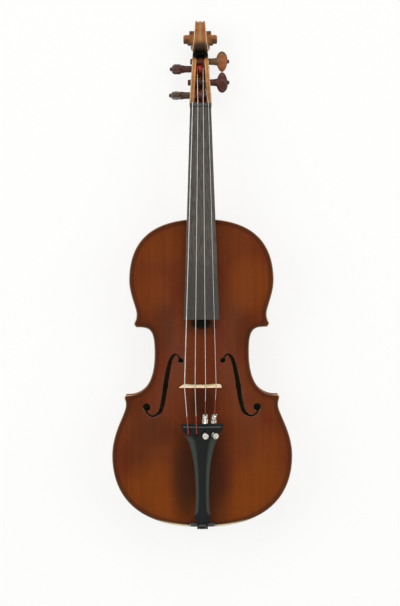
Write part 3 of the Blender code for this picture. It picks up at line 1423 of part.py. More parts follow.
def make_tuners():
    """Two fine tuners: frame, lever, screw, screw head, collar and the string's ball end."""
    end = KEYHOLE_INSET / math.cos(TAILPIECE_PITCH)
    pivot = (TUNER_ARM_LENGTH, TUNER_PIVOT_HEIGHT)
    rear = -TUNER_HEAD_DIAMETER / 2
    front = pivot[0] + TUNER_EAR
    ear_back = end + ARCH_GAP
    ear_top = pivot[1] + TUNER_EAR
    shaft_hole = TUNER_SHAFT_DIAMETER / 2 + RUNNING_GAP
    for name in TUNER_STRINGS:
        seat = tuner_seat(name)

        def place(kind, data):
            return seat_part(add_object(f"tuner_{kind}_{name}", data, "nickel"), seat)

        def shape(part, kind, data, operation):
            boolean(part, add_guide(f"tuner_{kind}_{name}", data, part), operation)

        half = TUNER_WIDTH / 2
        plate_top = min(seated_heights(name, tailpiece_under, half, rear, end)) - GLUE_GAP
        plate_low = plate_top - TUNER_PLATE
        plate = [
            (rear, plate_top), (ear_back, plate_top), (ear_back, ear_top - 1.0),
            (ear_back + 1.0, ear_top), (front - 1.0, ear_top), (front, ear_top - 1.0),
            (front, pivot[1] - TUNER_EAR), (ear_back + 1.6, plate_low), (rear, plate_low),
        ]
        frame = place("frame", side_mesh(f"tuner_frame_{name}", plate, TUNER_WIDTH))
        shape(frame, "hole", cylinder_mesh(f"tuner_hole_{name}", shaft_hole, CUT_THROUGH, 16),
              "DIFFERENCE")
        slot_start = end + GLUE_GAP / 2
        slot = [(slot_start, -CUT_THROUGH), (front + 4, -CUT_THROUGH), (front + 4, CUT_THROUGH),
                (slot_start, CUT_THROUGH)]
        shape(frame, "slot", side_mesh(f"tuner_slot_{name}", slot,
                                       TUNER_LEVER_WIDTH + 2 * GLUE_GAP), "DIFFERENCE")
        shape(frame, "pin", cross_pin(f"tuner_pin_{name}", TUNER_PIN_DIAMETER, TUNER_WIDTH, *pivot),
              "UNION")

        arm_top = plate_low - GLUE_GAP
        arm_low = arm_top - TUNER_ARM
        hook_y = TUNER_ARM_LENGTH + TUNER_HOOK_REACH
        clear = BALL_DIAMETER / 2 + GLUE_GAP
        floor_top = TUNER_HOOK_HEIGHT - clear
        floor_low = floor_top - TUNER_FORK_THICKNESS
        fork_back = front + 0.8
        fork_front = hook_y + clear + TUNER_FORK_THICKNESS
        lever = [
            (-2.4, arm_top), (ear_back, arm_top), (ear_back + 0.4, arm_top + 0.4),
            (ear_back + 0.4, pivot[1] + 1.2), (pivot[0], ear_top), (fork_back + 1.2, floor_top - 0.3),
            (fork_back + 1.2, floor_low + 0.3), (pivot[0] + 1.7, pivot[1] - 0.6),
            (pivot[0] + 1.2, arm_low + 1.2), (pivot[0], arm_low), (-2.4, arm_low + 0.6),
        ]
        part = place("lever", side_mesh(f"tuner_lever_{name}", lever, TUNER_LEVER_WIDTH))
        fork = [
            (fork_back, floor_low), (fork_front, floor_low), (fork_front, TUNER_HOOK_HEIGHT + 1.6),
            (fork_front - TUNER_FORK_THICKNESS, TUNER_HOOK_HEIGHT + 1.6),
            (fork_front - TUNER_FORK_THICKNESS, floor_top), (fork_back, floor_top),
        ]
        shape(part, "fork", side_mesh(f"tuner_fork_{name}", fork, TUNER_FORK_WIDTH), "UNION")
        gap = STRINGS[name][2] + 3 * GLUE_GAP
        notch_low = floor_low - 1
        notch = [(hook_y, notch_low), (fork_front + 2, notch_low), (fork_front + 2, notch_low + 10),
                 (hook_y, notch_low + 10)]
        shape(part, "notch", side_mesh(f"tuner_notch_{name}", notch, gap), "DIFFERENCE")
        shape(part, "bore", cross_pin(f"tuner_bore_{name}", TUNER_PIN_DIAMETER + 2 * RUNNING_GAP,
                                      2 * TUNER_WIDTH, *pivot), "DIFFERENCE")

        outer = TUNER_COLLAR_DIAMETER / 2
        collar_low = max(seated_heights(name, tailpiece_top, outer, -outer, outer)) + GLUE_GAP
        collar_high = collar_low + TUNER_COLLAR_HEIGHT
        head_low = collar_high + GLUE_GAP + TUNER_TRAVEL
        head_high = head_low + TUNER_HEAD_HEIGHT
        shaft_top = head_low - GLUE_GAP
        shaft_low = arm_top + GLUE_GAP
        shaft = cylinder_mesh(f"tuner_screw_{name}", TUNER_SHAFT_DIAMETER / 2,
                              shaft_top - shaft_low, 16)
        turn_mesh(shaft, Matrix.Translation(Vector((0, 0, (shaft_top + shaft_low) / 2)) * MM))
        smooth(shaft)
        place("screw", shaft)

        radius = TUNER_HEAD_DIAMETER / 2
        profile = [(0, head_high), (radius * 0.8, head_high), (radius, head_high - 0.5),
                   (radius, head_low + 0.5), (radius * 0.85, head_low), (0, head_low)]
        screw(place("head", turned_mesh(f"tuner_head_{name}", profile)), 18)

        ring = [(shaft_hole, collar_high), (outer - 0.4, collar_high), (outer, collar_high - 0.4),
                (outer, collar_low), (shaft_hole, collar_low)]
        screw(place("collar", turned_mesh(f"tuner_collar_{name}", ring, ring=True)), 18)

        ball = cross_pin(f"ball_end_{name}", BALL_DIAMETER, BALL_LENGTH, hook_y, TUNER_HOOK_HEIGHT)
        smooth(ball)
        seat_part(add_object(f"ball_end_{name}", ball, "nickel"), seat)


def make_saddle_and_gut():
    """The saddle in the top's edge, the tail gut over it and the end button that holds it."""
    half = SADDLE_WIDTH / 2
    low = RIB_TOP_Z + GLUE_GAP
    near = 1.0
    far = SADDLE_DEPTH + GLUE_GAP
    loops = []
    for share, rise in ((-1, 0.45), (-0.72, 0.95), (-0.4, 1.0), (0.4, 1.0), (0.72, 0.95), (1, 0.45)):
        top = blend(TOP_EDGE_Z, SADDLE_TOP_Z, rise)
        loops.append([(half * share, near, low), (half * share, far, low), (half * share, far, top - 1.6),
                      (half * share, far - 1.4, top), (half * share, near + 1.8, top),
                      (half * share, near, top - 1.8)])
    add_object("saddle", loft_mesh("saddle", loops), "ebony")

    radius = GUT_DIAMETER / 2
    leg = GUT_SPACING / 2
    over = SADDLE_TOP_Z + GLUE_GAP + radius
    outside = -radius - GLUE_GAP
    groove = -radius + 0.4
    neck_radius = END_PIN_DIAMETER / 2 + GLUE_GAP + radius
    right = [
        (leg, TAILPIECE_BOTTOM_AT - GLUE_GAP, over + 0.8), (leg, 3.4, over + 0.2),
        (leg, 1.6, over - 0.2), (leg, outside + 0.2, over - 2.2),
        (leg, outside, TOP_EDGE_Z - 2), (leg, outside - 0.1, TOP_GLUE_Z),
        (leg * 0.98, groove, END_BUTTON_Z + neck_radius * 0.9),
    ]
    turns = [math.radians(a) for a in (15, -15, -45, -75)]
    right += [(neck_radius * math.cos(t), groove, END_BUTTON_Z + neck_radius * math.sin(t))
              for t in turns]
    points = right + [(-x, y, z) for x, y, z in right[::-1]]
    tube("tail_gut", points, GUT_DIAMETER, "gut", 2)

    pin = END_PIN_DIAMETER / 2
    head = END_BUTTON_DIAMETER / 2
    tip = END_BUTTON_LENGTH - OVERHANG
    inner_end = -OVERHANG - END_BLOCK_DEPTH + 3
    collar = radius - groove + GLUE_GAP
    profile = [
        (0, tip), (head * 0.62, tip), (head * 0.92, tip - 0.7), (head, tip - 1.8),
        (head * 0.84, collar + 0.4), (pin, collar), (pin, inner_end + 1),
        (pin - 0.8, inner_end), (0, inner_end),
    ]
    button = add_object("end_button", turned_mesh("end_button", profile), "ebony")
    screw(button, 20)
    button.location = Vector((0, 0, END_BUTTON_Z)) * MM
    button.rotation_euler = (math.pi / 2, 0, 0)


def main():
    """Build the whole instrument."""
    make_plates()
    make_ribs()
    make_linings()
    make_blocks()
    make_bar_and_post()
    make_neck()
    make_fingerboard()
    make_pegs()
    make_windings()
    make_tailpiece()
    make_saddle_and_gut()
    make_bridge()
    make_strings()
    make_tuners()


main()
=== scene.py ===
"""The look of a small viola: varnished woods, ebony fittings, wound strings and nickel tuners.

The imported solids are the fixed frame. Pieces are placed from that frame's boxes and from the
instrument's own sizes, in metres, with +Z towards the strings and +Y towards the scroll.
"""
from __future__ import annotations

import json
import logging
import math
from dataclasses import dataclass, field
from enum import Enum
from typing import Callable, Iterable, Sequence

import bmesh
import bpy
import numpy as np
from mathutils import Matrix, Vector


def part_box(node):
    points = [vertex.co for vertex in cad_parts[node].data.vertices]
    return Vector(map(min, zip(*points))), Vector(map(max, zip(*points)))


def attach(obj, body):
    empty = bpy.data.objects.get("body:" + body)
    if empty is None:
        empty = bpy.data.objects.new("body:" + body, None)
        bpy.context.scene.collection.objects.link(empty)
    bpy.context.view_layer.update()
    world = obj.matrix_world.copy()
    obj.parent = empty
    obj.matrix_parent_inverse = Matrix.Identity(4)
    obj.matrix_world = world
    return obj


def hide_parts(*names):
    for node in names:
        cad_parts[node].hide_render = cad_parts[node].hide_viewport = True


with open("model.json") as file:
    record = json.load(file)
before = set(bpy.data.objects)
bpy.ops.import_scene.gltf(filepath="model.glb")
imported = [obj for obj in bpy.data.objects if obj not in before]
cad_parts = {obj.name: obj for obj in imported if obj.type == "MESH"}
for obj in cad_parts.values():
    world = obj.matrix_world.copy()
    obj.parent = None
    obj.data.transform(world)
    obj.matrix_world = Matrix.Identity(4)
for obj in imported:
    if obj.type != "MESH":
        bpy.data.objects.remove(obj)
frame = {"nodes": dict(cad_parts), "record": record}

LOG = logging.getLogger("viola")
MM = 0.001
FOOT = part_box("back_plate")[0].y
ROOT_BODY = "instrument"

# Sizes that several classes share, in millimetres along from the body's lower edge or across.
BODY_LENGTH = 370.0
WAIST_AT = 185.0
NUT_AT = 505.2
BOX_AT = 509.7
THROAT_AT = 566.7
NUT_HALF = 12.65
BOARD_HALF = 21.1
BOARD_SPAN = 256.0
BOARD_RADIUS = 42.0
BOX_HALF = 13.5
THROAT_HALF = 9.7

Colour = tuple[float, float, float, float]
Row = list[Vector]
Mesh = bmesh.types.BMesh
Array = np.ndarray
Height = Callable[[Array, Array, Array], Array]
Heights = tuple[Height, Height]


def tint(red: int, green: int, blue: int) -> Colour:
    """Turn a screen colour into the linear colour that a shader takes.

    Args:
        red: the red channel, 0 to 255.
        green: the green channel.
        blue: the blue channel.

    Returns:
        The linear colour, opaque.
    """
    linear = []
    for channel in (red, green, blue):
        share = channel / 255
        linear.append(share / 12.92 if share <= 0.04045 else ((share + 0.055) / 1.055) ** 2.4)
    return (*linear, 1.0)


def blend(a: float, b: float, share: float) -> float:
    """A value share of the way from a to b."""
    return a + (b - a) * share


def within(value: float) -> float:
    """A number kept between 0 and 1."""
    return min(1.0, max(0.0, value))


def curved(value: float, power: float) -> float:
    """A number's size raised to a power, with its sign kept."""
    return math.copysign(abs(value) ** power, value)


def dropped(x: float, radius: float) -> float:
    """How far a round top has fallen at a distance from its middle."""
    return radius - math.sqrt(radius * radius - x * x)


def rounded(gap: Array, radius: float) -> Array:
    """How much a rounded edge takes off at a distance from the edge."""
    inside = np.clip(radius - gap, 0, radius)
    return radius - np.sqrt(radius ** 2 - inside ** 2)


def place(x: float, y: float, z: float) -> Vector:
    """Millimetres across, along from the body's lower edge and up, as a place in the scene."""
    return Vector((x * MM, FOOT + y * MM, z * MM))


def arc(centre: Sequence[float], radius: float, start: float, sweep: float, steps: int) -> Row:
    """Points round a centre in a plane.

    Args:
        centre: the two coordinates of the centre.
        radius: the arc's radius.
        start: the first point's angle.
        sweep: how far round the last point is from the first.
        steps: how many parts the arc has.

    Returns:
        The points, both ends included.
    """
    turns = [start + sweep * i / steps for i in range(steps + 1)]
    return [Vector((centre[0] + radius * math.cos(t), centre[1] + radius * math.sin(t)))
            for t in turns]


def through(stations: Sequence[Sequence[float]], at: float) -> list[float]:
    """Read rows of (place, value, ...) at a place, by straight lines.

    Args:
        stations: rows in rising order of place.
        at: the place to read.

    Returns:
        The values there.
    """
    for low, high in zip(stations[:-1], stations[1:]):
        if at <= high[0]:
            share = max(0.0, (at - low[0]) / (high[0] - low[0]))
            return [blend(a, b, share) for a, b in zip(low[1:], high[1:])]
    return list(stations[-1][1:])


def smooth_rows(points: Sequence[Sequence[float]], steps: int) -> Row:
    """A smooth curve through rows of numbers.

    Args:
        points: the rows that the curve passes through.
        steps: samples to a span.

    Returns:
        The samples, the last point included.
    """
    rows = [Vector(p) for p in points]
    ends = [rows[0] * 2 - rows[1]] + rows + [rows[-1] * 2 - rows[-2]]
    out: Row = []
    for before, a, b, after in zip(ends, ends[1:], ends[2:], ends[3:]):
        for step in range(steps):
            t = step / steps
            out.append(0.5 * (2 * a + (b - before) * t
                              + (2 * before - 5 * a + 4 * b - after) * t * t
                              + (3 * a - before - 3 * b + after) * t ** 3))
    return out + [rows[-1]]


class Wire:
    """A node socket that takes part in sums."""

    def __init__(self, shader: Shader, socket: bpy.types.NodeSocket) -> None:
        """Keep the socket and the shader it belongs to."""
        self.shader = shader
        self.socket = socket

    def maths(self, operation: str, *others: Wire | float, swap: bool = False) -> Wire:
        """Add one Math node.

        Args:
            operation: the node's operation.
            others: its other values.
            swap: put this socket second.

        Returns:
            The node's result.
        """
        values: list[Wire | float] = [self, *others]
        if swap:
            values.reverse()
        return self.shader.add("ShaderNodeMath", {"operation": operation}, *values)

    def __add__(self, other: Wire | float) -> Wire:
        """Sum."""
        return self.maths("ADD", other)

    def __sub__(self, other: Wire | float) -> Wire:
        """Difference."""
        return self.maths("SUBTRACT", other)

    def __rsub__(self, other: Wire | float) -> Wire:
        """Difference from a number."""
        return self.maths("SUBTRACT", other, swap=True)

    def __mul__(self, other: Wire | float) -> Wire:
        """Product."""
        return self.maths("MULTIPLY", other)

    def __truediv__(self, other: Wire | float) -> Wire:
        """Quotient."""
        return self.maths("DIVIDE", other)

    __radd__ = __add__
    __rmul__ = __mul__

    def clamp(self) -> Wire:
        """The value kept between 0 and 1."""
        return self.shader.add("ShaderNodeClamp", {}, self, 0.0, 1.0)

    def rise(self, low: float, high: float) -> Wire:
        """0 up to low, 1 from high, eased between."""
        settings = {"interpolation_type": "SMOOTHSTEP"}
        return self.shader.add("ShaderNodeMapRange", settings, self, low, high, 0.0, 1.0)

    def fall(self, low: float, high: float) -> Wire:
        """1 up to low, 0 from high, eased between."""
        return 1.0 - self.rise(low, high)

    def size(self) -> Wire:
        """The value without its sign."""
        return self.maths("ABSOLUTE")


class Shader:
    """One procedural material and its nodes."""

    def __init__(self, name: str) -> None:
        """Start the material with its Principled shader and the object's own coordinates.

        Args:
            name: the material's name.
        """
        self.material = bpy.data.materials.new(name)
        self.material.use_nodes = True
        self.tree = self.material.node_tree
        self.surface = self.tree.nodes["Principled BSDF"]
        coordinates = self.tree.nodes.new("ShaderNodeTexCoord")
        self.place = Wire(self, coordinates.outputs["Object"])
        axes = self.tree.nodes.new("ShaderNodeSeparateXYZ")
        self.tree.links.new(self.place.socket, axes.inputs[0])
        self.x, self.y, self.z = (Wire(self, out) for out in axes.outputs)

    def add(self, kind: str, settings: dict[str, object], *inputs: object, output: int = 0,
            **named: object) -> Wire:
        """Add a node.

        Args:
            kind: the node's type.
            settings: properties to set before its sockets.
            inputs: values or wires for its first sockets, in order.
            output: which of its outputs to return.
            named: values or wires for sockets by name or identifier.

        Returns:
            The chosen output.
        """
        node = self.tree.nodes.new(kind)
        for key, value in settings.items():
            setattr(node, key, value)
        for socket, value in zip(node.inputs, inputs):
            self.feed(socket, value)
        for key, value in named.items():
            self.feed(next(i for i in node.inputs if key in (i.identifier, i.name)), value)
        return Wire(self, node.outputs[output])

    def feed(self, socket: bpy.types.NodeSocket, value: object) -> None:
        """Set a socket to a value, or link a wire to it.

        Args:
            socket: the socket.
            value: a wire, a number, a colour or a vector.
        """
        if isinstance(value, Wire):
            self.tree.links.new(value.socket, socket)
        else:
            socket.default_value = value

    def stretched(self, x: float, y: float, z: float) -> Wire:
        """The object's coordinates scaled along each axis, for grain that runs one way."""
        return self.add("ShaderNodeVectorMath", {"operation": "MULTIPLY"}, self.place, (x, y, z))

    def noise(self, place: Wire, detail: float = 2.0, rough: float = 0.5) -> Wire:
        """Soft noise, about 0.5 on average, with one blob to a unit of place."""
        return self.add("ShaderNodeTexNoise", {}, Vector=place, Scale=1.0, Detail=detail,
                        Roughness=rough)

    def mix(self, share: Wire | float, a: Wire | Colour, b: Wire | Colour) -> Wire:
        """Colour a turned into colour b by a share."""
        return self.add("ShaderNodeMix", {"data_type": "RGBA"}, share, output=2, A_Color=a,
                        B_Color=b)

    def shade(self, colour: Wire, factor: Wire) -> Wire:
        """A colour made darker or lighter by a factor."""
        return self.add("ShaderNodeVectorMath", {"operation": "SCALE"}, colour, Scale=factor)

    def attribute(self, name: str) -> Wire:
        """A number kept on the mesh's own points."""
        return self.add("ShaderNodeAttribute", {"attribute_name": name}, output=2)

    def spot(self, x: float, y: float, half_width: float, half_height: float) -> Wire:
        """A soft round patch on the plan of the instrument: 1 in its middle, 0 outside.

        Args:
            x: millimetres from the centre line.
            y: millimetres from the lower edge of the body.
            half_width: reach across, in millimetres.
            half_height: reach along, in millimetres.

        Returns:
            The patch's strength.
        """
        across = (self.x - x * MM) / (half_width * MM)
        along = (self.y - (FOOT + y * MM)) / (half_height * MM)
        return (1.0 - (across * across + along * along)).rise(0.0, 1.0)

    def bump(self, height: Wire, distance: float, strength: float = 1.0) -> None:
        """Roughen the surface by a height, whose full rise is a distance in metres."""
        normal = self.add("ShaderNodeBump", {}, Strength=strength, Distance=distance,
                          Height=height)
        self.feed(self.surface.inputs["Normal"], normal)

    def finish(self, **sockets: object) -> bpy.types.Material:
        """Feed the Principled shader.

        Args:
            sockets: values or wires by the socket's name, with _ for a space.

        Returns:
            The material.
        """
        for key, value in sockets.items():
            self.feed(self.surface.inputs[key.replace("_", " ")], value)
        return self.material


@dataclass(frozen=True)
class SpruceVarnish:
    """Red-brown varnish on quartered spruce, worn to gold over the lower bouts."""

    name: str = "varnished_spruce"
    body: Colour = tint(101, 47, 18)
    red: Colour = tint(97, 40, 16)
    gold: Colour = tint(122, 59, 12)
    dark: Colour = tint(44, 23, 9)
    # The colour of the painted shadow that the fingerboard's free end casts on the top.
    painted_board_shadow: Colour = tint(12, 10, 7)
    margin: Colour = tint(50, 30, 18)
    worn_edge: Colour = tint(232, 212, 172)
    cut: Colour = tint(140, 132, 116)
    rings_per_metre: float = 850.0
    purfling_at: float = 0.46
    purfling_half: float = 0.09
    # Each spot: its middle across and along, its reach both ways and, where given, its share.
    # The painted shadow under the fingerboard's free end lies in this spot.
    board_shadow_spot: tuple[float, ...] = (-0.5, 244.5, 15, 8.5)
    foot_spot: tuple[float, ...] = (0, -6, 74, 24)
    bare_spots: tuple[tuple[float, float, float, float], ...] = (
        (86, 245, 14, 12), (-86, 245, 14, 12), (98, 160, 16, 12), (-98, 158, 16, 12),
    )
    gold_spots: tuple[tuple[float, ...], ...] = (
        (-58, 50, 46, 40, 0.8), (-34, 24, 40, 26, 0.8), (66, 54, 44, 40, 0.8),
        (42, 26, 42, 24, 0.8), (58, 290, 34, 44, 0.7), (-50, 336, 34, 26, 0.4),
        (-58, 282, 30, 34, 0.4), (78, 92, 26, 36, 0.5),
    )
    # Painted shade under the fingerboard's end, beside the tailpiece and below the bridge, and
    # darker varnish elsewhere.
    dark_and_shade_spots: tuple[tuple[float, ...], ...] = (
        (0, 146, 23, 30, 0.55), (0, 150, 17, 20, 0.5), (-24, 58, 20, 80, 0.55),
        (20, 58, 20, 80, 0.5), (-18, 60, 18, 60, 0.6), (14, 60, 16, 60, 0.5),
        (0, 245, 26, 20, 0.5), (-46, 240, 18, 40, 0.3), (52, 232, 18, 36, 0.3),
        (-80, 150, 16, 30, 0.3), (-58, 116, 38, 26, 0.35), (-80, 84, 26, 34, 0.25),
        (-70, 240, 14, 20, 0.25),
    )

    def build(self) -> bpy.types.Material:
        """Mix the varnish over the wood, with the shade of the fittings painted on it.

        Returns:
            The material, which reads the attribute rim: millimetres from the edge, over ten.
        """
        s = Shader(self.name)
        grain = s.noise(s.stretched(self.rings_per_metre, 9.0, 30.0), 3.0, 0.62)
        silk = s.noise(s.stretched(90.0, 420.0, 90.0), 2.0, 0.7)
        streaks = s.noise(s.stretched(210.0, 5.0, 30.0), 2.0, 0.6)
        clouds = s.noise(s.stretched(26.0, 15.0, 20.0), 4.0, 0.6)
        colour = s.mix(clouds.rise(0.35, 0.68), self.body, self.red)
        for *spot, share in self.gold_spots:
            colour = s.mix((s.spot(*spot) * (clouds + 0.35)).clamp() * share, colour, self.gold)
        # Painted shade round the fittings, and darker varnish, mixed in towards dark.
        for *spot, share in self.dark_and_shade_spots:
            colour = s.mix(s.spot(*spot) * share, colour, self.dark)
        # Painted shadow under the fingerboard's free end.
        colour = s.mix((s.spot(*self.board_shadow_spot) * 1.5).clamp(), colour, self.painted_board_shadow)
        rim = s.attribute("rim")
        # The band inside the edge is darkened towards margin: dirt in the channel, and painted
        # shade on its slope.
        colour = s.mix(rim.fall(0.3, 0.8) * 0.5, colour, self.margin)
        line = (1.0 - ((rim - self.purfling_at).size() / self.purfling_half)).clamp()
        colour = s.mix(line * 0.3, colour, self.dark)
        colour = s.shade(colour, 0.56 + grain * 0.36 + streaks * 0.34 + silk * 0.18)
        bare = sum((s.spot(*spot) for spot in self.bare_spots), s.spot(0, -4, 90, 34))
        wear = rim.fall(0.05, 0.14) * (clouds * 0.4 + bare * 0.55).clamp()
        foot = rim.fall(0.12, 0.28) * s.spot(*self.foot_spot)
        colour = s.mix((wear + foot).clamp(), colour, self.worn_edge)
        colour = s.mix(rim.rise(2.02, 2.3) * 0.8, colour, self.cut)
        s.bump(grain, 0.0001, 0.25)
        return s.finish(Base_Color=colour, Roughness=(0.38 + grain * 0.1), Coat_Weight=0.03,
                        Coat_Roughness=0.3, Specular_IOR_Level=0.05)


@dataclass(frozen=True)
class FlamedMaple:
    """Varnished maple whose flame runs across the grain."""

    name: str
    base: Colour
    flame: Colour
    dark: Colour
    flame_scale: tuple[float, float, float]
    grain_scale: tuple[float, float, float]
    worn: Colour = tint(205, 157, 92)
    has_rim: bool = False
    shadows: tuple[tuple[float, float, float, float, float], ...] = ()
    deep: Colour = tint(26, 28, 24)

    def build(self) -> bpy.types.Material:
        """Lay the flame, the grain and the wear.

        Returns:
            The material; where it has a rim it also reads the attribute of that name.
        """
        s = Shader(self.name)
        wander = s.noise(s.stretched(30.0, 30.0, 30.0), 2.0)
        stretched = s.stretched(*self.flame_scale)
        shifted = s.add("ShaderNodeVectorMath", {"operation": "ADD"}, stretched, wander)
        flame = s.noise(shifted, 1.5).rise(0.36, 0.64)
        grain = s.noise(s.stretched(*self.grain_scale), 3.0, 0.6)
        clouds = s.noise(s.stretched(22.0, 22.0, 22.0), 3.0)
        colour = s.mix(flame, self.base, self.flame)
        colour = s.mix(clouds.rise(0.45, 0.75) * 0.6, colour, self.dark)
        if self.has_rim:
            rim = s.attribute("rim")
            colour = s.mix(rim.fall(0.3, 1.0) * 0.55, colour, self.dark)
            colour = s.mix(rim.fall(0.04, 0.13) * 0.8, colour, self.worn)
            colour = s.mix(rim.rise(3.0, 4.0), colour, self.deep)
        for *spot, share in self.shadows:
            colour = s.mix(s.spot(*spot) * share, colour, self.deep)
        colour = s.shade(colour, 0.8 + grain * 0.38)
        s.bump(grain, 0.00008, 0.3)
        return s.finish(Base_Color=colour, Roughness=(0.34 + grain * 0.14), Coat_Weight=0.08,
                        Coat_Roughness=0.25, Specular_IOR_Level=0.14)


@dataclass(frozen=True)
class PlainWood:
    """Wood with a fine straight grain, oiled, bare or stained."""

    name: str
    base: Colour
    grain_colour: Colour
    grain_scale: tuple[float, float, float]
    roughness: float
    coat: float = 0.0
    depth: float = 0.00008
    side_sheen: Colour | None = None
    dull_spots: tuple[tuple[float, float, float, float], ...] = ()
    dull: Colour | None = None

    def build(self) -> bpy.types.Material:
        """Lay the grain and its stains.

        Returns:
            The material; with a side sheen it also reads the attribute rim, and paints that sheen
            where rim is low.
        """
        s = Shader(self.name)
        grain = s.noise(s.stretched(*self.grain_scale), 3.0, 0.65)
        clouds = s.noise(s.stretched(40.0, 14.0, 40.0), 3.0)
        colour = s.mix(grain.rise(0.35, 0.7), self.base, self.grain_colour)
        for spot in self.dull_spots:
            colour = s.mix(s.spot(*spot) * 0.8, colour, self.dull or self.grain_colour)
        if self.side_sheen:
            # Painted sheen: a lighter colour where rim is low, for the reflection of the side
            # lamps.
            rim = s.attribute("rim")
            colour = s.mix(rim.fall(0.3, 0.6) * 0.8, colour, self.side_sheen)
        colour = s.shade(colour, 0.82 + clouds * 0.36)
        s.bump(grain, self.depth, 0.4)
        rough = grain * 0.2 + (self.roughness - 0.1)
        return s.finish(Base_Color=colour, Roughness=rough, Coat_Weight=self.coat,
                        Coat_Roughness=0.25, Specular_IOR_Level=0.1)


@dataclass(frozen=True)
class WoundString:
    """Metal winding, with silk wrapped round both ends."""

    name: str
    metal: Colour
    silk: Colour
    silk_below: float
    silk_above: float
    peg_silk: Colour
    sleeve: Colour | None = None
    sleeve_at: float = 170.2
    turns_per_metre: float = 3600.0

    def build(self) -> bpy.types.Material:
        """Wind the metal, and the silk below silk_below and above silk_above.

        Returns:
            The material; both places are millimetres along from the body's lower edge.
        """
        s = Shader(self.name)
        along = (s.y - FOOT) / MM
        low = along.fall(self.silk_below - 0.6, self.silk_below)
        high = along.rise(self.silk_above, self.silk_above + 0.6)
        wound = (s.y * (self.turns_per_metre * math.tau)).maths("SINE")
        worn = s.noise(s.stretched(300.0, 90.0, 300.0), 2.0)
        colour = s.mix(worn, self.metal, tint(150, 148, 142))
        colour = s.mix(low, colour, self.silk)
        colour = s.mix(high, colour, self.peg_silk)
        if self.sleeve:
            over = (along - self.sleeve_at).size().fall(1.4, 1.8)
            colour = s.mix(over, colour, self.sleeve)
            low = low + over
        silk = (low + high).clamp()
        s.bump(wound, 0.00003, 0.5)
        return s.finish(Base_Color=colour, Metallic=(1.0 - silk), Roughness=(0.3 + silk * 0.4))


@dataclass(frozen=True)
class Plated:
    """Nickel plate, lightly tarnished."""

    name: str = "nickel_plate"
    bright: Colour = tint(200, 196, 186)
    dull: Colour = tint(112, 106, 94)

    def build(self) -> bpy.types.Material:
        """Lay the plate and its tarnish.

        Returns:
            The material.
        """
        s = Shader(self.name)
        tarnish = s.noise(s.stretched(420.0, 420.0, 420.0), 4.0, 0.6)
        colour = s.mix(tarnish.rise(0.42, 0.72), self.bright, self.dull)
        s.bump(tarnish, 0.00003, 0.3)
        return s.finish(Base_Color=colour, Metallic=1.0, Roughness=(0.16 + tarnish * 0.22))


class Finish(Enum):
    """Every finish on the instrument, each built once."""

    TOP = SpruceVarnish()
    BACK = FlamedMaple("varnished_back", tint(142, 73, 34), tint(184, 108, 50), tint(87, 44, 25),
                       (12.0, 170.0, 12.0), (500.0, 12.0, 500.0), has_rim=True,
                       worn=tint(112, 66, 36), deep=tint(150, 146, 120))
    RIB = FlamedMaple("varnished_ribs", tint(131, 67, 32), tint(175, 101, 48), tint(83, 41, 25),
                      (150.0, 150.0, 8.0), (60.0, 60.0, 900.0))
    NECK = FlamedMaple("varnished_neck", tint(176, 114, 52), tint(202, 138, 68),
                       tint(108, 57, 34), (14.0, 120.0, 40.0), (700.0, 14.0, 700.0),
                       worn=tint(250, 239, 193), has_rim=True,
                       shadows=((0, 570.5, 13, 8, 1.6), (0, 578, 12, 9, 0.9), (17, 581, 5, 4, 0.8),
                                (-17, 581, 5, 4, 0.8), (17, 586, 6, 4.5, 0.7),
                                (-17, 586, 6, 4.5, 0.7), (13, 577, 4, 8, 0.9),
                                (-13, 577, 4, 8, 0.9), (10.5, 597, 3, 5, 0.7),
                                (-10.5, 597, 3, 5, 0.7)))
    BARE = PlainWood("bare_spruce", tint(154, 124, 87), tint(126, 99, 67),
                     (900.0, 9.0, 900.0), 0.7)
    BRIDGE = PlainWood("bridge_maple", tint(250, 237, 200), tint(241, 200, 159),
                       (240.0, 900.0, 30.0), 0.55, 0.05)
    BOARD = PlainWood("worn_ebony", tint(92, 87, 80), tint(62, 59, 56),
                      (1100.0, 9.0, 700.0), 0.5, dull_spots=((0, 262, 60, 74),))
    EBONY = PlainWood("ebony", tint(26, 26, 25), tint(19, 19, 18), (900.0, 9.0, 700.0), 0.45, 0.05)
    # The tailpiece's lighter sides are a painted reflection of the side lamps.
    TAILPIECE = PlainWood("tailpiece_wood", tint(19, 21, 21), tint(15, 17, 17),
                          (800.0, 10.0, 600.0), 0.42, 0.05, side_sheen=tint(64, 70, 64))
    PEG_BROWN = PlainWood("peg_brown", tint(80, 44, 34), tint(54, 32, 24),
                          (90.0, 500.0, 500.0), 0.34, 0.15)
    PEG_GREY = PlainWood("peg_grey", tint(84, 62, 46), tint(58, 44, 32),
                         (90.0, 500.0, 500.0), 0.26, 0.25)
    PEG_RED = PlainWood("peg_red", tint(84, 42, 34), tint(62, 31, 26),
                        (90.0, 500.0, 500.0), 0.34, 0.15)
    PEG_LIGHT = PlainWood("peg_light", tint(152, 90, 50), tint(130, 74, 42),
                          (90.0, 500.0, 500.0), 0.36, 0.15, dull=tint(84, 76, 56),
                          dull_spots=((13, 563, 14, 16), (-13, 563, 12, 16), (27, 574, 8, 5)))
    PIP = PlainWood("peg_pip", tint(57, 32, 27), tint(41, 25, 23), (400.0, 400.0, 400.0), 0.3, 0.3)
    # The fret is a lighter grey than the ebony round it: a painted highlight along its ridge.
    FRET = PlainWood("fret_painted_highlight", tint(60, 66, 62), tint(48, 54, 51), (60.0, 900.0, 60.0), 0.4,
                     0.1)
    NICKEL = Plated()
    GUT = PlainWood("tail_cord", tint(41, 39, 37), tint(27, 26, 25), (600.0, 600.0, 90.0), 0.5)

    def material(self) -> bpy.types.Material:
        """This finish's material, made the first time it is asked for."""
        made = bpy.data.materials.get(self.value.name)
        return made if made else self.value.build()


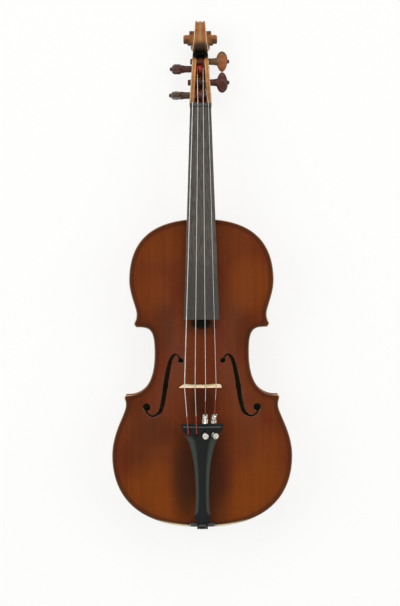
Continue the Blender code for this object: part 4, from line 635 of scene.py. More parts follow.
@dataclass
class Outline:
    """The body's edge, as curves on the treble side from the lower edge to the neck."""

    fineness: int = 3
    # Each knot: its place, then its handles before and after.
    lower_knots: tuple = (
        ((0, 0), (0, 0), (85, 0)),
        ((108.1, 86), (0, -42), (0, 28.5)),
        ((91.4, 146.4), (0, -10), (0, 5)),
        ((93.3, 155.6), (-1.3, -5), (0, 0)),
    )
    middle_knots: tuple = (
        ((91.8, 158.8), (0, 0), (-25, -1.5)),
        ((56.6, 209), (0, -31), (0, 29)),
        ((78.7, 240.1), (-17, 0.5), (0, 0)),
    )
    upper_knots: tuple = (
        ((81.4, 243.6), (0, 0), (-0.65, 4.5)),
        ((78.0, 256), (0, -7.5), (0, 7.5)),
        ((86.7, 296), (0, -16), (0, 43)),
        ((0, BODY_LENGTH), (65, 0), (0, 0)),
    )

    def section(self, knots: tuple, steps: tuple[int, ...]) -> list[tuple[Vector, Vector]]:
        """Sample the curves of a section.

        Args:
            knots: each knot's place, and its handles before and after.
            steps: samples to each span.

        Returns:
            Each sample's place and heading.
        """
        out = []
        for (start, _, leave), (end, arrive, _), count in zip(knots, knots[1:], steps):
            a = Vector(start)
            b = a + Vector(leave)
            d = Vector(end)
            c = d + Vector(arrive)
            for step in range(count + 1):
                if step == 0 and out:
                    continue
                t = step / count
                s = 1 - t
                point = a * s ** 3 + b * 3 * s * s * t + c * 3 * s * t * t + d * t ** 3
                heading = (b - a) * s * s + (c - b) * 2 * s * t + (d - c) * t * t
                out.append((point, heading.normalized()))
        return out

    def __post_init__(self) -> None:
        """Sample the three sections finely."""
        n = self.fineness
        self.lower = self.section(self.lower_knots, (11 * n, 6 * n, 3 * n))
        self.middle = self.section(self.middle_knots, (8 * n, 9 * n))
        self.upper = self.section(self.upper_knots, (3 * n, 4 * n, 10 * n))

    def treble(self) -> Row:
        """The whole treble edge, corners included."""
        return [p for part in (self.lower, self.middle, self.upper) for p, _ in part]

    @staticmethod
    def inset(section: list[tuple[Vector, Vector]], distance: float) -> Row:
        """A section's points moved into the body, square to its heading."""
        return [p + Vector((-h.y, h.x)) * distance for p, h in section]

    @staticmethod
    def mitre(first: tuple[Vector, Vector], second: tuple[Vector, Vector]) -> tuple[Vector, Vector]:
        """Halve a corner.

        Args:
            first: the end of one section, as its place and heading.
            second: the start of the next.

        Returns:
            A point on the line that halves it, and the line's direction.
        """
        (a, heading_a), (b, heading_b) = first, second
        share = (b - a).cross(heading_b) / heading_a.cross(heading_b)
        return a + heading_a * share, (heading_b - heading_a).normalized()

    @staticmethod
    def end_at(points: Row, line: tuple[Vector, Vector], clearance: float) -> Row:
        """Stop a row of points short of a line.

        Args:
            points: the row.
            line: a point on the line and its direction.
            clearance: how far short of it the row stops.

        Returns:
            The row up to there.
        """
        origin, direction = line
        sign = 1 if direction.cross(points[0] - origin) > 0 else -1

        def side(p: Vector) -> float:
            """How far a point still is from the line's clearance."""
            return sign * direction.cross(p - origin) - clearance

        kept = [points[0]]
        for p in points[1:]:
            if side(p) <= 0:
                break
            kept.append(p)
        ahead = points[len(kept)] - kept[-1] if len(kept) < len(points) else kept[-1] - kept[-2]
        return kept + [kept[-1] - ahead * (side(kept[-1]) / (sign * direction.cross(ahead)))]


def mirrored(points: Iterable[Sequence[float]]) -> Row:
    """The same plan points on the bass side."""
    return [Vector((-p[0], p[1])) for p in points]


def shown(name: str, data: bpy.types.ID) -> bpy.types.Object:
    """A new object of the scene that holds some data."""
    made = bpy.data.objects.new(name, data)
    bpy.context.scene.collection.objects.link(made)
    return made


def settled(made: Mesh, name: str) -> bpy.types.Mesh:
    """A built mesh as the data of an object. The built one is freed."""
    mesh = bpy.data.meshes.new(name)
    made.to_mesh(mesh)
    made.free()
    return mesh


def publish(made: Mesh, name: str, finish: Finish, *,
            body: str = ROOT_BODY, stands_for: Sequence[str] = (), sharp: float = 40.0,
            recalculate: bool = True) -> bpy.types.Object:
    """Turn a built mesh into a piece of the instrument.

    Args:
        made: the mesh, which is freed.
        name: the piece's name.
        finish: its finish.
        body: the body that it moves with.
        stands_for: the CAD nodes that it replaces.
        sharp: edges sharper than this many degrees stay crisp.
        recalculate: turn all faces outwards.

    Returns:
        The piece.
    """
    if recalculate:
        bmesh.ops.recalc_face_normals(made, faces=made.faces)
    mesh = settled(made, name)
    mesh.materials.append(finish.material())
    mesh.shade_smooth()
    mesh.set_sharp_from_angle(angle=math.radians(sharp))
    piece = shown(name, mesh)
    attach(piece, body)
    if stands_for:
        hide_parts(*stands_for)
    LOG.info("%s: %d faces", name, len(mesh.polygons))
    return piece


def edge_loop(made: Mesh, points: Iterable[Vector], closed: bool = True) -> list:
    """Add a row of points joined by edges.

    Args:
        made: the mesh to add to.
        points: places in the scene.
        closed: join the last point to the first.

    Returns:
        The edges.
    """
    verts = [made.verts.new(p) for p in points]
    edges = [made.edges.new(pair) for pair in zip(verts, verts[1:])]
    if closed:
        edges.append(made.edges.new((verts[-1], verts[0])))
    return edges


def extruded(outlines: Sequence[Sequence[Vector]], move: Vector) -> Mesh:
    """A flat outline with its holes, filled and extruded.

    Args:
        outlines: the outer outline and any holes, as places in the scene.
        move: how far and which way the far face lies.

    Returns:
        The closed mesh.
    """
    made = bmesh.new()
    edges = [e for outline in outlines for e in edge_loop(made, outline)]
    bmesh.ops.triangle_fill(made, use_beauty=True, use_dissolve=False, edges=edges)
    grown = bmesh.ops.extrude_face_region(made, geom=made.faces[:], use_keep_orig=True)
    verts = [g for g in grown["geom"] if isinstance(g, bmesh.types.BMVert)]
    bmesh.ops.translate(made, verts=verts, vec=move)
    bmesh.ops.remove_doubles(made, verts=made.verts, dist=0.000001)
    return made


def sliced(made: Mesh, cuts: Iterable[tuple[Vector, Vector]], reach: float) -> None:
    """Cut faces along planes, and keep both sides.

    Args:
        made: the mesh.
        cuts: a point and a normal for each plane.
        reach: points nearer to a plane than this count as on it, in the mesh's own unit.
    """
    for point, normal in cuts:
        bmesh.ops.bisect_plane(made, geom=made.verts[:] + made.edges[:] + made.faces[:],
                               dist=reach, plane_co=point, plane_no=normal)


def lofted(loops: Sequence[Sequence[Vector]]) -> Mesh:
    """Bridge a row of closed loops and close both ends.

    Args:
        loops: the loops in order, each as places in the scene.

    Returns:
        The closed mesh.
    """
    made = bmesh.new()
    rings = [edge_loop(made, loop) for loop in loops]
    for low, high in zip(rings, rings[1:]):
        bmesh.ops.bridge_loops(made, edges=low + high)
    for ring in (rings[0], rings[-1]):
        bmesh.ops.contextual_create(made, geom=ring)
    return made


@dataclass
class Body:
    """The arched plates and the ribs."""

    outline: Outline = field(default_factory=Outline)
    edge_thickness: float = 4.0
    plate_thickness: float = 3.2
    top_arch: float = 16.0
    back_arch: float = 15.0
    arch_margin: float = 7.0
    hollow_margin: float = 11.0
    edge_round: float = 1.7
    channel_at: float = 6.0
    channel_half: float = 4.0
    channel_depth: float = 0.5
    overhang: float = 2.5
    rib_thickness: float = 1.2
    rib_gap: float = 0.15
    heel: float = 17.1
    tenon: float = 11.8
    tenon_at: float = 360.7
    shoulder_at: float = 367.5
    saddle: float = 15.05
    saddle_at: float = 5.6
    button: float = 12.0
    nick_at: float = 169.4
    nick: float = 0.9
    hole_lean: float = 0.6
    grid: float = 5.0
    wall_mark: float = 0.3
    most_mark: float = 2.0
    hidden_mark: float = 5.0
    hidden_from: float = 8.0
    upper_eye: tuple[float, float, float] = (25.4, 200.0, 3.3)
    lower_eye: tuple[float, float, float] = (66.6, 144.0, 4.7)

    def __post_init__(self) -> None:
        """Take the levels from the frame."""
        self.top_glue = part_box("top_plate")[0].z / MM
        self.back_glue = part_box("back_plate")[1].z / MM
        self.rib_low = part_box("lower_rib")[0].z / MM
        self.rib_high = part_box("lower_rib")[1].z / MM
        self.arch_line = self.line_of_arch(self.arch_margin)
        self.hollow_line = self.line_of_arch(self.hollow_margin)

    def line_of_arch(self, margin: float) -> Array:
        """Trace where the arching starts.

        Args:
            margin: how far it starts inside the edge.

        Returns:
            Rows of place and half width.
        """
        knots = (
            ((0, margin), (0, 0), (62, 0)),
            ((108.1 - margin, 86), (0, -40), (0, 50)),
            ((56.6 - margin, 209), (0, -40), (0, 32)),
            ((86.7 - margin, 296), (0, -24), (0, 38)),
            ((0, BODY_LENGTH - margin), (48, 0), (0, 0)),
        )
        rows = self.outline.section(knots, (16, 16, 16, 16))
        return np.array([(p.y, p.x) for p, _ in rows])

    @staticmethod
    def swell(x: Array, y: Array, line: Array) -> Array:
        """How far the arching has risen.

        Args:
            x: places across.
            y: places along.
            line: where the arching starts, from line_of_arch.

        Returns:
            0 at the line, up to 1 at the crown.
        """
        along = np.clip((y - line[0, 0]) / (line[-1, 0] - line[0, 0]), 0, 1)
        width = np.maximum(np.interp(y, line[:, 0], line[:, 1]), 0.001)
        across = np.clip(np.abs(x) / width, 0, 1)
        rise = 1 - np.abs(2 * along - 1) ** 2.3
        lengthwise = rise * rise * (3 - 2 * rise)
        return lengthwise * (1 + np.cos(np.pi * across ** 1.3)) / 2

    @staticmethod
    def distance(x: Array, y: Array, edge: Array) -> Array:
        """Measure points from a closed edge.

        Args:
            x: places across.
            y: places along.
            edge: the edge's points.

        Returns:
            Each point's distance.
        """
        best = np.full(x.shape, 1e9)
        for (ax, ay), (bx, by) in zip(edge, np.roll(edge, -1, axis=0)):
            length = (bx - ax) ** 2 + (by - ay) ** 2
            if length == 0:
                continue
            share = np.clip(((x - ax) * (bx - ax) + (y - ay) * (by - ay)) / length, 0, 1)
            gap = (x - ax - share * (bx - ax)) ** 2 + (y - ay - share * (by - ay)) ** 2
            best = np.minimum(best, gap)
        return np.sqrt(best)

    def channel(self, gap: Array) -> Array:
        """How deep the channel round the arching is at a distance from the edge."""
        away = np.clip(1 - np.abs(gap - self.channel_at) / self.channel_half, 0, 1)
        return self.channel_depth * away * away * (3 - 2 * away)

    def sound_hole(self, side: int) -> Row:
        """One sound hole: its eyes and the long stem between them, in one line.

        Args:
            side: 1 for the treble side, -1 for the bass side.

        Returns:
            The closed outline.
        """
        ux, uy, upper = self.upper_eye
        lx, ly, lower = self.lower_eye
        path = (
            (ux + 1.2, uy + 1.8, 1.3), (ux + 2.4, uy + 5.2, 1.0), (ux + 5.4, uy + 7.4, 1.15),
            (ux + 9.2, uy + 5.4, 1.8), (ux + 12.8, uy - 2.0, 2.3), (ux + 16.0, uy - 16.0, 2.7),
            (43.8, self.nick_at, 2.75), (46.2, 154.0, 2.7), (lx - 17.0, ly - 3.6, 2.3),
            (lx - 11.8, ly - 9.2, 1.6), (lx - 6.2, ly - 10.6, 1.3), (lx - 0.6, ly - 7.0, 1.4),
            (lx + 1.0, ly - 2.6, 1.6),
        )
        line = smooth_rows(path, 5)
        rows: list[Row] = [[], []]
        for before, here, after in zip([line[0]] + line, line, line[1:] + [line[-1]]):
            ahead = after - before
            normal = Vector((-ahead.y, ahead.x)).normalized() * here.z
            rows[0].append(Vector((here.x + normal.x, here.y + normal.y)))
            rows[1].append(Vector((here.x - normal.x, here.y - normal.y)))
        eyes = ((Vector((ux, uy)), upper), (Vector((lx, ly)), lower))
        sides = [[p for p in row if all((p - eye).length > radius for eye, radius in eyes)]
                 for row in rows]
        for row, outward in ((sides[0], 1), (sides[1], -1)):
            middle = min(range(len(row)), key=lambda i: abs(row[i].y - self.nick_at))
            row[middle] = row[middle] + Vector((outward * self.nick, 0))

        def round_eye(eye: tuple[Vector, float], start: Vector, end: Vector) -> Row:
            """Go the long way round an eye.

            Args:
                eye: its centre and radius.
                start: the stem's side to start from.
                end: the stem's other side.

            Returns:
                The points between.
            """
            centre, radius = eye
            first = math.atan2(start.y - centre.y, start.x - centre.x)
            last = math.atan2(end.y - centre.y, end.x - centre.x)
            sweep = (last - first) % math.tau
            if sweep < math.pi:
                sweep -= math.tau
            turns = [first + sweep * i / 22 for i in range(23)]
            return [centre + Vector((math.cos(t), math.sin(t))) * radius for t in turns]

        left, right = sides
        points = left + round_eye(eyes[1], left[-1], right[-1]) + right[::-1]
        points += round_eye(eyes[0], right[0], left[0])
        return [Vector((side * p.x, p.y)) for p in points]

    def plate(self, edge: Row, holes: list[Row], heights: Heights, rim_edge: Array,
              grid: float, lean: float = 0.0,
              insets: tuple[float, ...] = (0.15, 0.35, 0.6, 0.7)) -> Mesh:
        """Carve a plate.

        Args:
            edge: its closed outline.
            holes: outlines cut through it.
            heights: of the outer and the inner face, from x, y and the distance from the edge.
            rim_edge: the outline that the distance is taken from.
            grid: how far apart its points are, in millimetres.
            lean: how far the walls of its holes lean in, in millimetres.
            insets: the rings of faces along its edge, each with its width.

        Returns:
            The closed mesh. Its attribute rim is the distance from the edge over ten, and
            hidden_mark on the inner face, where that can't be seen.
        """
        same_point, straight_within, shortest = 2e-5, 3e-5, 8e-5
        made = bmesh.new()
        edge_loop(made, [place(*p, 0) for p in edge])
        core = made.faces.new(made.verts)
        made.normal_update()
        if core.normal.z < 0:
            bmesh.ops.reverse_faces(made, faces=[core])
        # Rings of faces along the edge, where the rounding and the channel need them.
        for step in insets:
            bmesh.ops.inset_region(made, faces=[core], thickness=step * MM, depth=0.0,
                                   use_even_offset=True, use_boundary=True)
        ring = core.edges[:]
        bmesh.ops.delete(made, geom=[core], context="FACES_ONLY")
        for hole in holes:
            ring += edge_loop(made, [place(*p, 0) for p in hole])
        # Fill the rest, cut it into a grid, and take the fill's own slanting edges out again.
        core_mark = made.faces.layers.int.new("core")
        bmesh.ops.triangle_fill(made, use_beauty=True, use_dissolve=False, edges=ring,
                                normal=(0, 0, 1))
        for face in made.faces:
            face[core_mark] = int(len(face.verts) == 3)
        for axis in (Vector((1, 0, 0)), Vector((0, 1, 0))):
            reach = [axis.xy.dot(p) for p in edge]
            start, end = min(reach), max(reach)
            count = int((end - start) // grid)
            spots = [start + (end - start) * i / (count + 1) for i in range(1, count + 1)]
            cuts = [(place(at * axis.x, at * axis.y, 0), axis) for at in spots]
            sliced(made, cuts, same_point)
        bmesh.ops.remove_doubles(made, verts=made.verts, dist=same_point)
        slants = []
        for rib in made.edges:
            run = rib.verts[0].co - rib.verts[1].co
            if len(rib.link_faces) == 2 and min(abs(run.x), abs(run.y)) > straight_within:
                if all(face[core_mark] for face in rib.link_faces):
                    slants.append(rib)
        bmesh.ops.dissolve_edges(made, edges=slants, use_verts=False, use_face_split=False)
        straight = [v for v in made.verts if len(v.link_edges) == 2
                    and abs(v.calc_edge_angle(1.0)) < 0.005]
        bmesh.ops.dissolve_verts(made, verts=straight)
        bmesh.ops.dissolve_degenerate(made, dist=shortest, edges=made.edges)
        made.faces.layers.int.remove(core_mark)
        # A second face for the thickness. The layer comes first, because adding it later would
        # make the extruded points' references stale.
        rim = made.verts.layers.float.new("rim")
        grown = bmesh.ops.extrude_face_region(made, geom=made.faces[:], use_keep_orig=True)
        marked = {g for g in grown["geom"] if isinstance(g, bmesh.types.BMVert)}
        x = np.array([v.co.x / MM for v in made.verts])
        y = np.array([(v.co.y - FOOT) / MM for v in made.verts])
        gap = self.distance(x, y, rim_edge)
        levels = [height(x, y, gap) for height in heights]
        for i, vert in enumerate(made.verts):
            below = vert in marked
            vert.co.z = float(levels[below][i]) * MM
            hidden = below and gap[i] > self.hidden_from
            mark = min(gap[i] / 10 + self.wall_mark * below, self.most_mark)
            vert[rim] = self.hidden_mark if hidden else float(mark)
            if hidden and any(e.other_vert(vert) not in marked for e in vert.link_edges):
                vert.co += Vector((math.copysign(lean, -x[i]) * 0.7, lean, 0)) * MM
        return made

    def faces(self, up: int, glue: float, arch: float) -> Heights:
        """The arched faces of a plate.

        Args:
            up: 1 for the top, -1 for the back.
            glue: height of the joint with the ribs.
            arch: how far the crown stands from there.

        Returns:
            The heights of its outer and its inner face.
        """
        def outer(x: Array, y: Array, gap: Array) -> Array:
            """The outer face, channelled and rounded."""
            rise = (arch - self.edge_thickness) * self.swell(x, y, self.arch_line)
            worn = rounded(gap, self.edge_round) + self.channel(gap)
            return glue + up * (self.edge_thickness + rise - worn)

        def inner(x: Array, y: Array, gap: Array) -> Array:
            """The hollowed inner face."""
            rise = (arch - self.plate_thickness) * self.swell(x, y, self.hollow_line)
            return glue + up * (rise + rounded(gap, self.edge_round))

        return outer, inner

    def make_top(self) -> None:
        """Carve the top: arched, channelled, with its two sound holes."""
        heel, saddle = self.heel, self.saddle
        treble = self.outline.treble()
        low = [p for p in treble if p.y < WAIST_AT]
        high = [p for p in treble if p.y >= WAIST_AT]
        at_saddle = through([(p.x, p.y) for p in low[:16]], saddle)[0]
        at_heel = through([(-p.x, p.y) for p in high[-16:]], -heel)[0]
        half = [Vector(p) for p in ((0, self.saddle_at), (saddle, self.saddle_at),
                                    (saddle, at_saddle))]
        half += [p for p in low if p.x > saddle + 1]
        half += [p for p in high if p.x > heel + 1]
        half += [Vector(p) for p in ((heel, at_heel), (heel, self.shoulder_at),
                                     (self.tenon, self.shoulder_at), (self.tenon, self.tenon_at))]
        edge = half + mirrored(half[:0:-1])
        rim_edge = np.array([p[:] for p in treble + mirrored(treble[::-1])])
        made = self.plate(edge, [self.sound_hole(1), self.sound_hole(-1)],
                          self.faces(1, self.top_glue, self.top_arch), rim_edge, self.grid,
                          self.hole_lean)
        publish(made, "arched_top", Finish.TOP, stands_for=["top_plate"],
                sharp=50)

    def make_back(self) -> None:
        """Carve the back: arched, with the button under the neck's heel."""
        button = self.button
        treble = self.outline.treble()
        at_button = through([(-p.x, p.y) for p in treble[-16:]], -button)[0]
        half = [p for p in treble if p.y < WAIST_AT or p.x > button + 1]
        half.append(Vector((button, at_button)))
        half += arc((0, BODY_LENGTH + 1), button, 0, math.pi / 2, 14)
        edge = half + mirrored(half[-2:0:-1])
        made = self.plate(edge, [], self.faces(-1, self.back_glue, self.back_arch),
                          np.array([p[:] for p in edge]), self.grid)
        publish(made, "arched_back", Finish.BACK,
                stands_for=["back_plate"], sharp=50)

    def make_ribs(self) -> None:
        """Five bent ribs."""
        o = self.outline
        gap = self.rib_gap
        lower_mitre = o.mitre(o.lower[-1], o.middle[0])
        upper_mitre = o.mitre(o.middle[-1], o.upper[0])
        heel = (Vector((11.65, 0)), Vector((0, 1)))
        insets = (self.overhang, self.overhang + self.rib_thickness)

        def bent(section: list, end: tuple, start: tuple) -> list[Row]:
            """A rib's outer and inner line between two mitres."""
            return [o.end_at(o.end_at(o.inset(section, d), end, gap)[::-1], start, gap)[::-1]
                    for d in insets]

        lower = [o.end_at(o.inset(o.lower, d), lower_mitre, gap) for d in insets]
        whole = [mirrored(row[:0:-1]) + row for row in lower]
        middle = bent(o.middle, upper_mitre, lower_mitre)
        upper = bent(o.upper, heel, upper_mitre)
        strips = {"lower_rib": whole, "middle_rib_treble": middle, "upper_rib_treble": upper,
                  "middle_rib_bass": [mirrored(r) for r in middle],
                  "upper_rib_bass": [mirrored(r) for r in upper]}
        for node, (out, ins) in strips.items():
            points = [place(*p, self.rib_low) for p in out + ins[::-1]]
            made = extruded([points], Vector((0, 0, (self.rib_high - self.rib_low) * MM)))
            publish(made, f"bent_{node}", Finish.RIB, stands_for=[node])

    def make(self) -> None:
        """Build the body."""
        self.make_top()
        self.make_back()
        self.make_ribs()


def joined(parts: Iterable[Mesh]) -> Mesh:
    """Put several closed meshes into one.

    Args:
        parts: the meshes, which are freed.

    Returns:
        The mesh with all of them, each turned outwards.
    """
    whole = bmesh.new()
    for part in parts:
        bmesh.ops.recalc_face_normals(part, faces=part.faces)
        mesh = settled(part, "part")
        whole.from_mesh(mesh)
        bpy.data.meshes.remove(mesh)
    return whole


def turned(profile: Sequence[tuple[float, float]], seat: Matrix, steps: int) -> Mesh:
    """Turn a profile about its axis.

    Args:
        profile: (radius, height) in millimetres, both ends on the axis.
        seat: where the axis stands, in metres.
        steps: facets round it.

    Returns:
        The closed mesh.
    """
    made = bmesh.new()
    edges = edge_loop(made, [Vector((r, 0, h)) * MM for r, h in profile], closed=False)
    bmesh.ops.spin(made, geom=made.verts[:] + edges, cent=(0, 0, 0), axis=(0, 0, 1),
                   angle=math.tau, steps=steps, use_merge=True)
    bmesh.ops.remove_doubles(made, verts=made.verts, dist=0.000004)
    bmesh.ops.transform(made, matrix=seat, verts=made.verts)
    return made


def sheet(rows: Sequence[Sequence[Vector]]) -> Mesh:
    """Span quads between rows.

    Args:
        rows: places in the scene, as many in each row.

    Returns:
        The open mesh.
    """
    made = bmesh.new()
    grid = [[made.verts.new(p) for p in row] for row in rows]
    for low, high in zip(grid, grid[1:]):
        for a, b, c, d in zip(low, low[1:], high[1:], high):
            made.faces.new((a, b, c, d))
    return made


@dataclass
class Head:
    """Neck, pegbox and scroll, carved from one piece of maple."""

    pitch: float = math.radians(6.4)
    glue_height: float = 59.8
    board_edge: float = 5.3
    tenon_low: float = 15.3
    mortise_ends: tuple[float, float] = (510.0, 571.3)
    mortise_halves: tuple[float, float] = (8.0, 4.4)
    board_overhang: float = 0.2
    floor_depth: float = 5.4
    box_run: float = 51.6
    # How far along the pegbox out of box_run, and the share of its back's way down.
    box_tapers: tuple = ((5, 0.24), (10, 0.385), (17, 0.51), (29, 0.70), (41, 0.86))
    eye: tuple[float, float] = (588.7, 24.3)
    squareness: float = 4.6
    chamfer: float = 1.3
    # The scroll's radius and half width at each quarter turn, from the throat to the eye.
    turns_radii: tuple = (24.0, 22.8, 18.2, 14.4, 12.8, 11.0, 9.2, 7.9, 6.9, 6.1, 5.6)
    turns_halves: tuple = (7.8, 6.4, 7.6, 10.6, 12.4, 13.2, 14.0, 15.4, 17.0, 18.6, 19.8)
    steps_a_turn: int = 48
    peg_holes: tuple[float, float] = (3.77, 4.2)
    flute: float = 1.3
    cheek_mark: float = 0.085
    edge_mark: float = 0.04
    ridge_mark: float = 0.105
    flute_mark: float = 0.42
    crest_mark: float = 0.8
    flank_mark: float = 0.5

    def plane(self, y: float) -> float:
        """Height of the plane under the fingerboard."""
        return self.glue_height - math.tan(self.pitch) * (y - BODY_LENGTH)

    def crown(self, y: float) -> float:
        """Height of the fingerboard's crown."""
        half = self.board_half(y) + self.board_overhang
        return self.plane(y) + self.board_edge + dropped(half, BOARD_RADIUS)

    def board_half(self, y: float) -> float:
        """Half the neck's width under the board."""
        return blend(NUT_HALF, BOARD_HALF, (NUT_AT - y) / BOARD_SPAN) - self.board_overhang

    def shaft_rows(self) -> list[tuple[float, ...]]:
        """List the neck's sections.

        Returns:
            Rows of place, front, back, half width in front and behind, and squareness.
        """
        under = self.tenon_low
        foot = BODY_LENGTH + 15
        bow = foot + 15
        waist = BOX_AT - 17

        def back(y: float) -> float:
            """Height of the neck's back."""
            return self.crown(y) - blend(21.0, 19.0, (y - bow) / (waist - bow))

        deep = back(bow)
        low = back(waist)
        half = self.board_half
        rows = [
            (367.8, under, 16.8, 11.5, 7.0), (foot - 8, under, 16.4, 10.9, 5.0),
            (foot - 3, under + 0.8, 16.2, 9.1, 3.4),
            (foot, blend(under, deep, 0.22), 16.0, 10.7, 2.8),
            (foot + 3, blend(under, deep, 0.55), 15.9, 12.4, 2.6),
            (foot + 8, blend(under, deep, 0.86), 15.7, 14.0, 2.3),
            (bow, deep, half(bow), half(bow), 2.1),
        ]
        for share in (0.33, 0.67, 1.0):
            y = blend(bow, waist, share)
            rows.append((y, back(y), half(y), half(y), 2.1))
        top = half(NUT_AT)
        rows += [(NUT_AT - 6, low - 1.4, top, top, 2.2),
                 (NUT_AT, low - 4.4, BOX_HALF - 0.4, BOX_HALF - 0.4, 2.8),
                 (BOX_AT, low - 8.8, BOX_HALF, BOX_HALF, 3.8)]
        return [(row[0], self.plane(row[0]), *row[1:]) for row in rows]

    def box_rows(self) -> list[tuple[float, float, float, float]]:
        """List the pegbox's sections, on to the scroll's middle.

        Returns:
            Rows of place, front, back and half width.
        """
        _, edge, low, *_ = self.shaft_rows()[-1]
        throat_edge = self.eye[1] - 0.6
        rows = [(BOX_AT, edge, low, BOX_HALF)]
        for along, share in self.box_tapers:
            part = along / self.box_run
            rows.append((blend(BOX_AT, THROAT_AT, part), blend(edge, throat_edge, part),
                         blend(low, 0.9, share), blend(BOX_HALF, THROAT_HALF, part)))
        past = self.eye[0] - THROAT_AT
        tip = self.turns_halves[0]
        rows += [(THROAT_AT, throat_edge, 2.5, THROAT_HALF),
                 (THROAT_AT + past * 0.2, throat_edge - 5, 1.7, THROAT_HALF - 0.3),
                 (THROAT_AT + past * 0.5, throat_edge - 10, 0.9, blend(THROAT_HALF, tip, 0.5)),
                 (self.eye[0], throat_edge - 12, 0.7, tip - 0.1)]
        return rows

    def mortise_half(self, y: float) -> float:
        """Half the mortise's width at a place."""
        start, end = self.mortise_ends
        return blend(*self.mortise_halves, (y - start) / (end - start))

    def floor(self, y: float) -> float:
        """Find the mortise's floor, which rises at the nut.

        Args:
            y: the place along.

        Returns:
            Its height.
        """
        start, end = self.mortise_ends
        share = (y - start) / (end - start)
        depth = self.floor_depth if share > 0.1 else blend(2.4, self.floor_depth, share / 0.19)
        return through(self.box_rows(), y)[1] + depth

    def side(self, front: float, back: float, half: float, z: float) -> float:
        """How far out the pegbox's side is at a height, from its section's own numbers."""
        share = within((front - z) / (front - back))
        return half * (1 - share ** self.squareness) ** (1 / self.squareness)

    def shaft(self) -> Mesh:
        """Carve the tenon, the heel and the neck up to the nut.

        Returns:
            The closed mesh.
        """
        sides = 30
        loops = []
        tenon = [(y, self.plane(y), self.tenon_low, 11.5, 11.5, 40.0) for y in (361.0, 367.7)]
        for y, front, back, half_front, half_back, square in tenon + self.shaft_rows():
            loop = []
            for step in range(sides + 1):
                turn = math.pi * step / sides
                down = math.sin(turn) ** (2 / square)
                half = blend(half_front, half_back, down)
                loop.append(place(-half * curved(math.cos(turn), 2 / square), y,
                                  blend(front, back, down)))
            loops.append(loop)
        return lofted(loops)

    def box_back(self) -> Mesh:
        """Carve the pegbox's back and its run into the scroll, with two flutes behind.

        Returns:
            The closed mesh.
        """
        rows = self.box_rows()
        start, end = self.mortise_ends
        first = BOX_AT - 0.6
        places = [first + i * (end - first) / 26 for i in range(27)]
        stations = [(y, self.floor(max(y, start))) for y in places]
        stations += [(y, None) for y in (end + 0.05, end + 3, end + 7, end + 12, self.eye[0])]
        sides = 40
        loops = []
        for y, level in stations:
            front, back, half = through(rows, max(y, rows[0][0]))
            top = front if level is None else level
            share = (front - top) / (front - back)
            begin = math.asin(min(1.0, share ** (self.squareness / 2)))
            fluted = half * 0.86
            loop = []
            for step in range(sides + 1):
                turn = blend(begin, math.pi - begin, step / sides)
                down = math.sin(turn) ** (2 / self.squareness)
                x = -half * curved(math.cos(turn), 2 / self.squareness)
                hollow = 0.0
                if down > 0.9 and abs(x) < fluted:
                    hollow = 1.1 * math.sin(math.pi * abs(x) / fluted) ** 2
                loop.append(place(x, y, blend(front, back, down) + hollow))
            loops.append(loop)
        return lofted(loops)

    def cheek(self, hand: int) -> Mesh:
        """Carve one side wall of the pegbox, pierced for the four pegs.

        Args:
            hand: 1 for the treble side, -1 for the bass side.

        Returns:
            The closed mesh.
        """
        rows = self.box_rows()
        start, end = BOX_AT, self.mortise_ends[1]
        places = [start + (end - start) * i / 24 for i in range(25)]
        outline = [(y, through(rows, y)[0]) for y in places]
        outline += [(y, self.floor(max(y, self.mortise_ends[0])) - 0.4) for y in places[::-1]]
        outlines = [[Vector((0, y, z)) for y, z in outline]]
        for y, z, side, _ in PEGS.values():
            radius = self.peg_holes[side == hand]
            ring = arc((y, z), radius, 0, math.tau, 32)[:-1]
            outlines.append([Vector((0, *p)) for p in ring])
        made = extruded(outlines, Vector((1, 0, 0)))
        (y0, z0), (y1, z1) = outline[0], outline[22]
        rake = Vector((0, z0 - z1, y1 - y0)).normalized()
        cuts = [(Vector((0, y0, z0)) - rake * d, rake) for d in (self.chamfer, 5.0, 10.0)]
        cuts += [(Vector((0, 0, z)), Vector((0, 0, 1))) for z in (8, 12, 16, 20, 26, 32)]
        cuts += [(Vector((0, y, 0)), Vector((0, 1, 0))) for y in places[1:-1:2]]
        sliced(made, cuts, 0.0001)
        for vert in made.verts:
            _, y, z = vert.co
            front, back, half = through(rows, y)
            out = self.side(front, back, half, z)
            depth = (Vector((0, y0, z0)) - vert.co).dot(rake)
            if vert.co.x > 0.5:
                x = max(out - max(0.0, self.chamfer - depth) * 0.75, self.mortise_half(y) + 0.6)
            else:
                x = self.mortise_half(max(y, self.mortise_ends[0]))
            vert.co = place(hand * x, y, z)
        return made

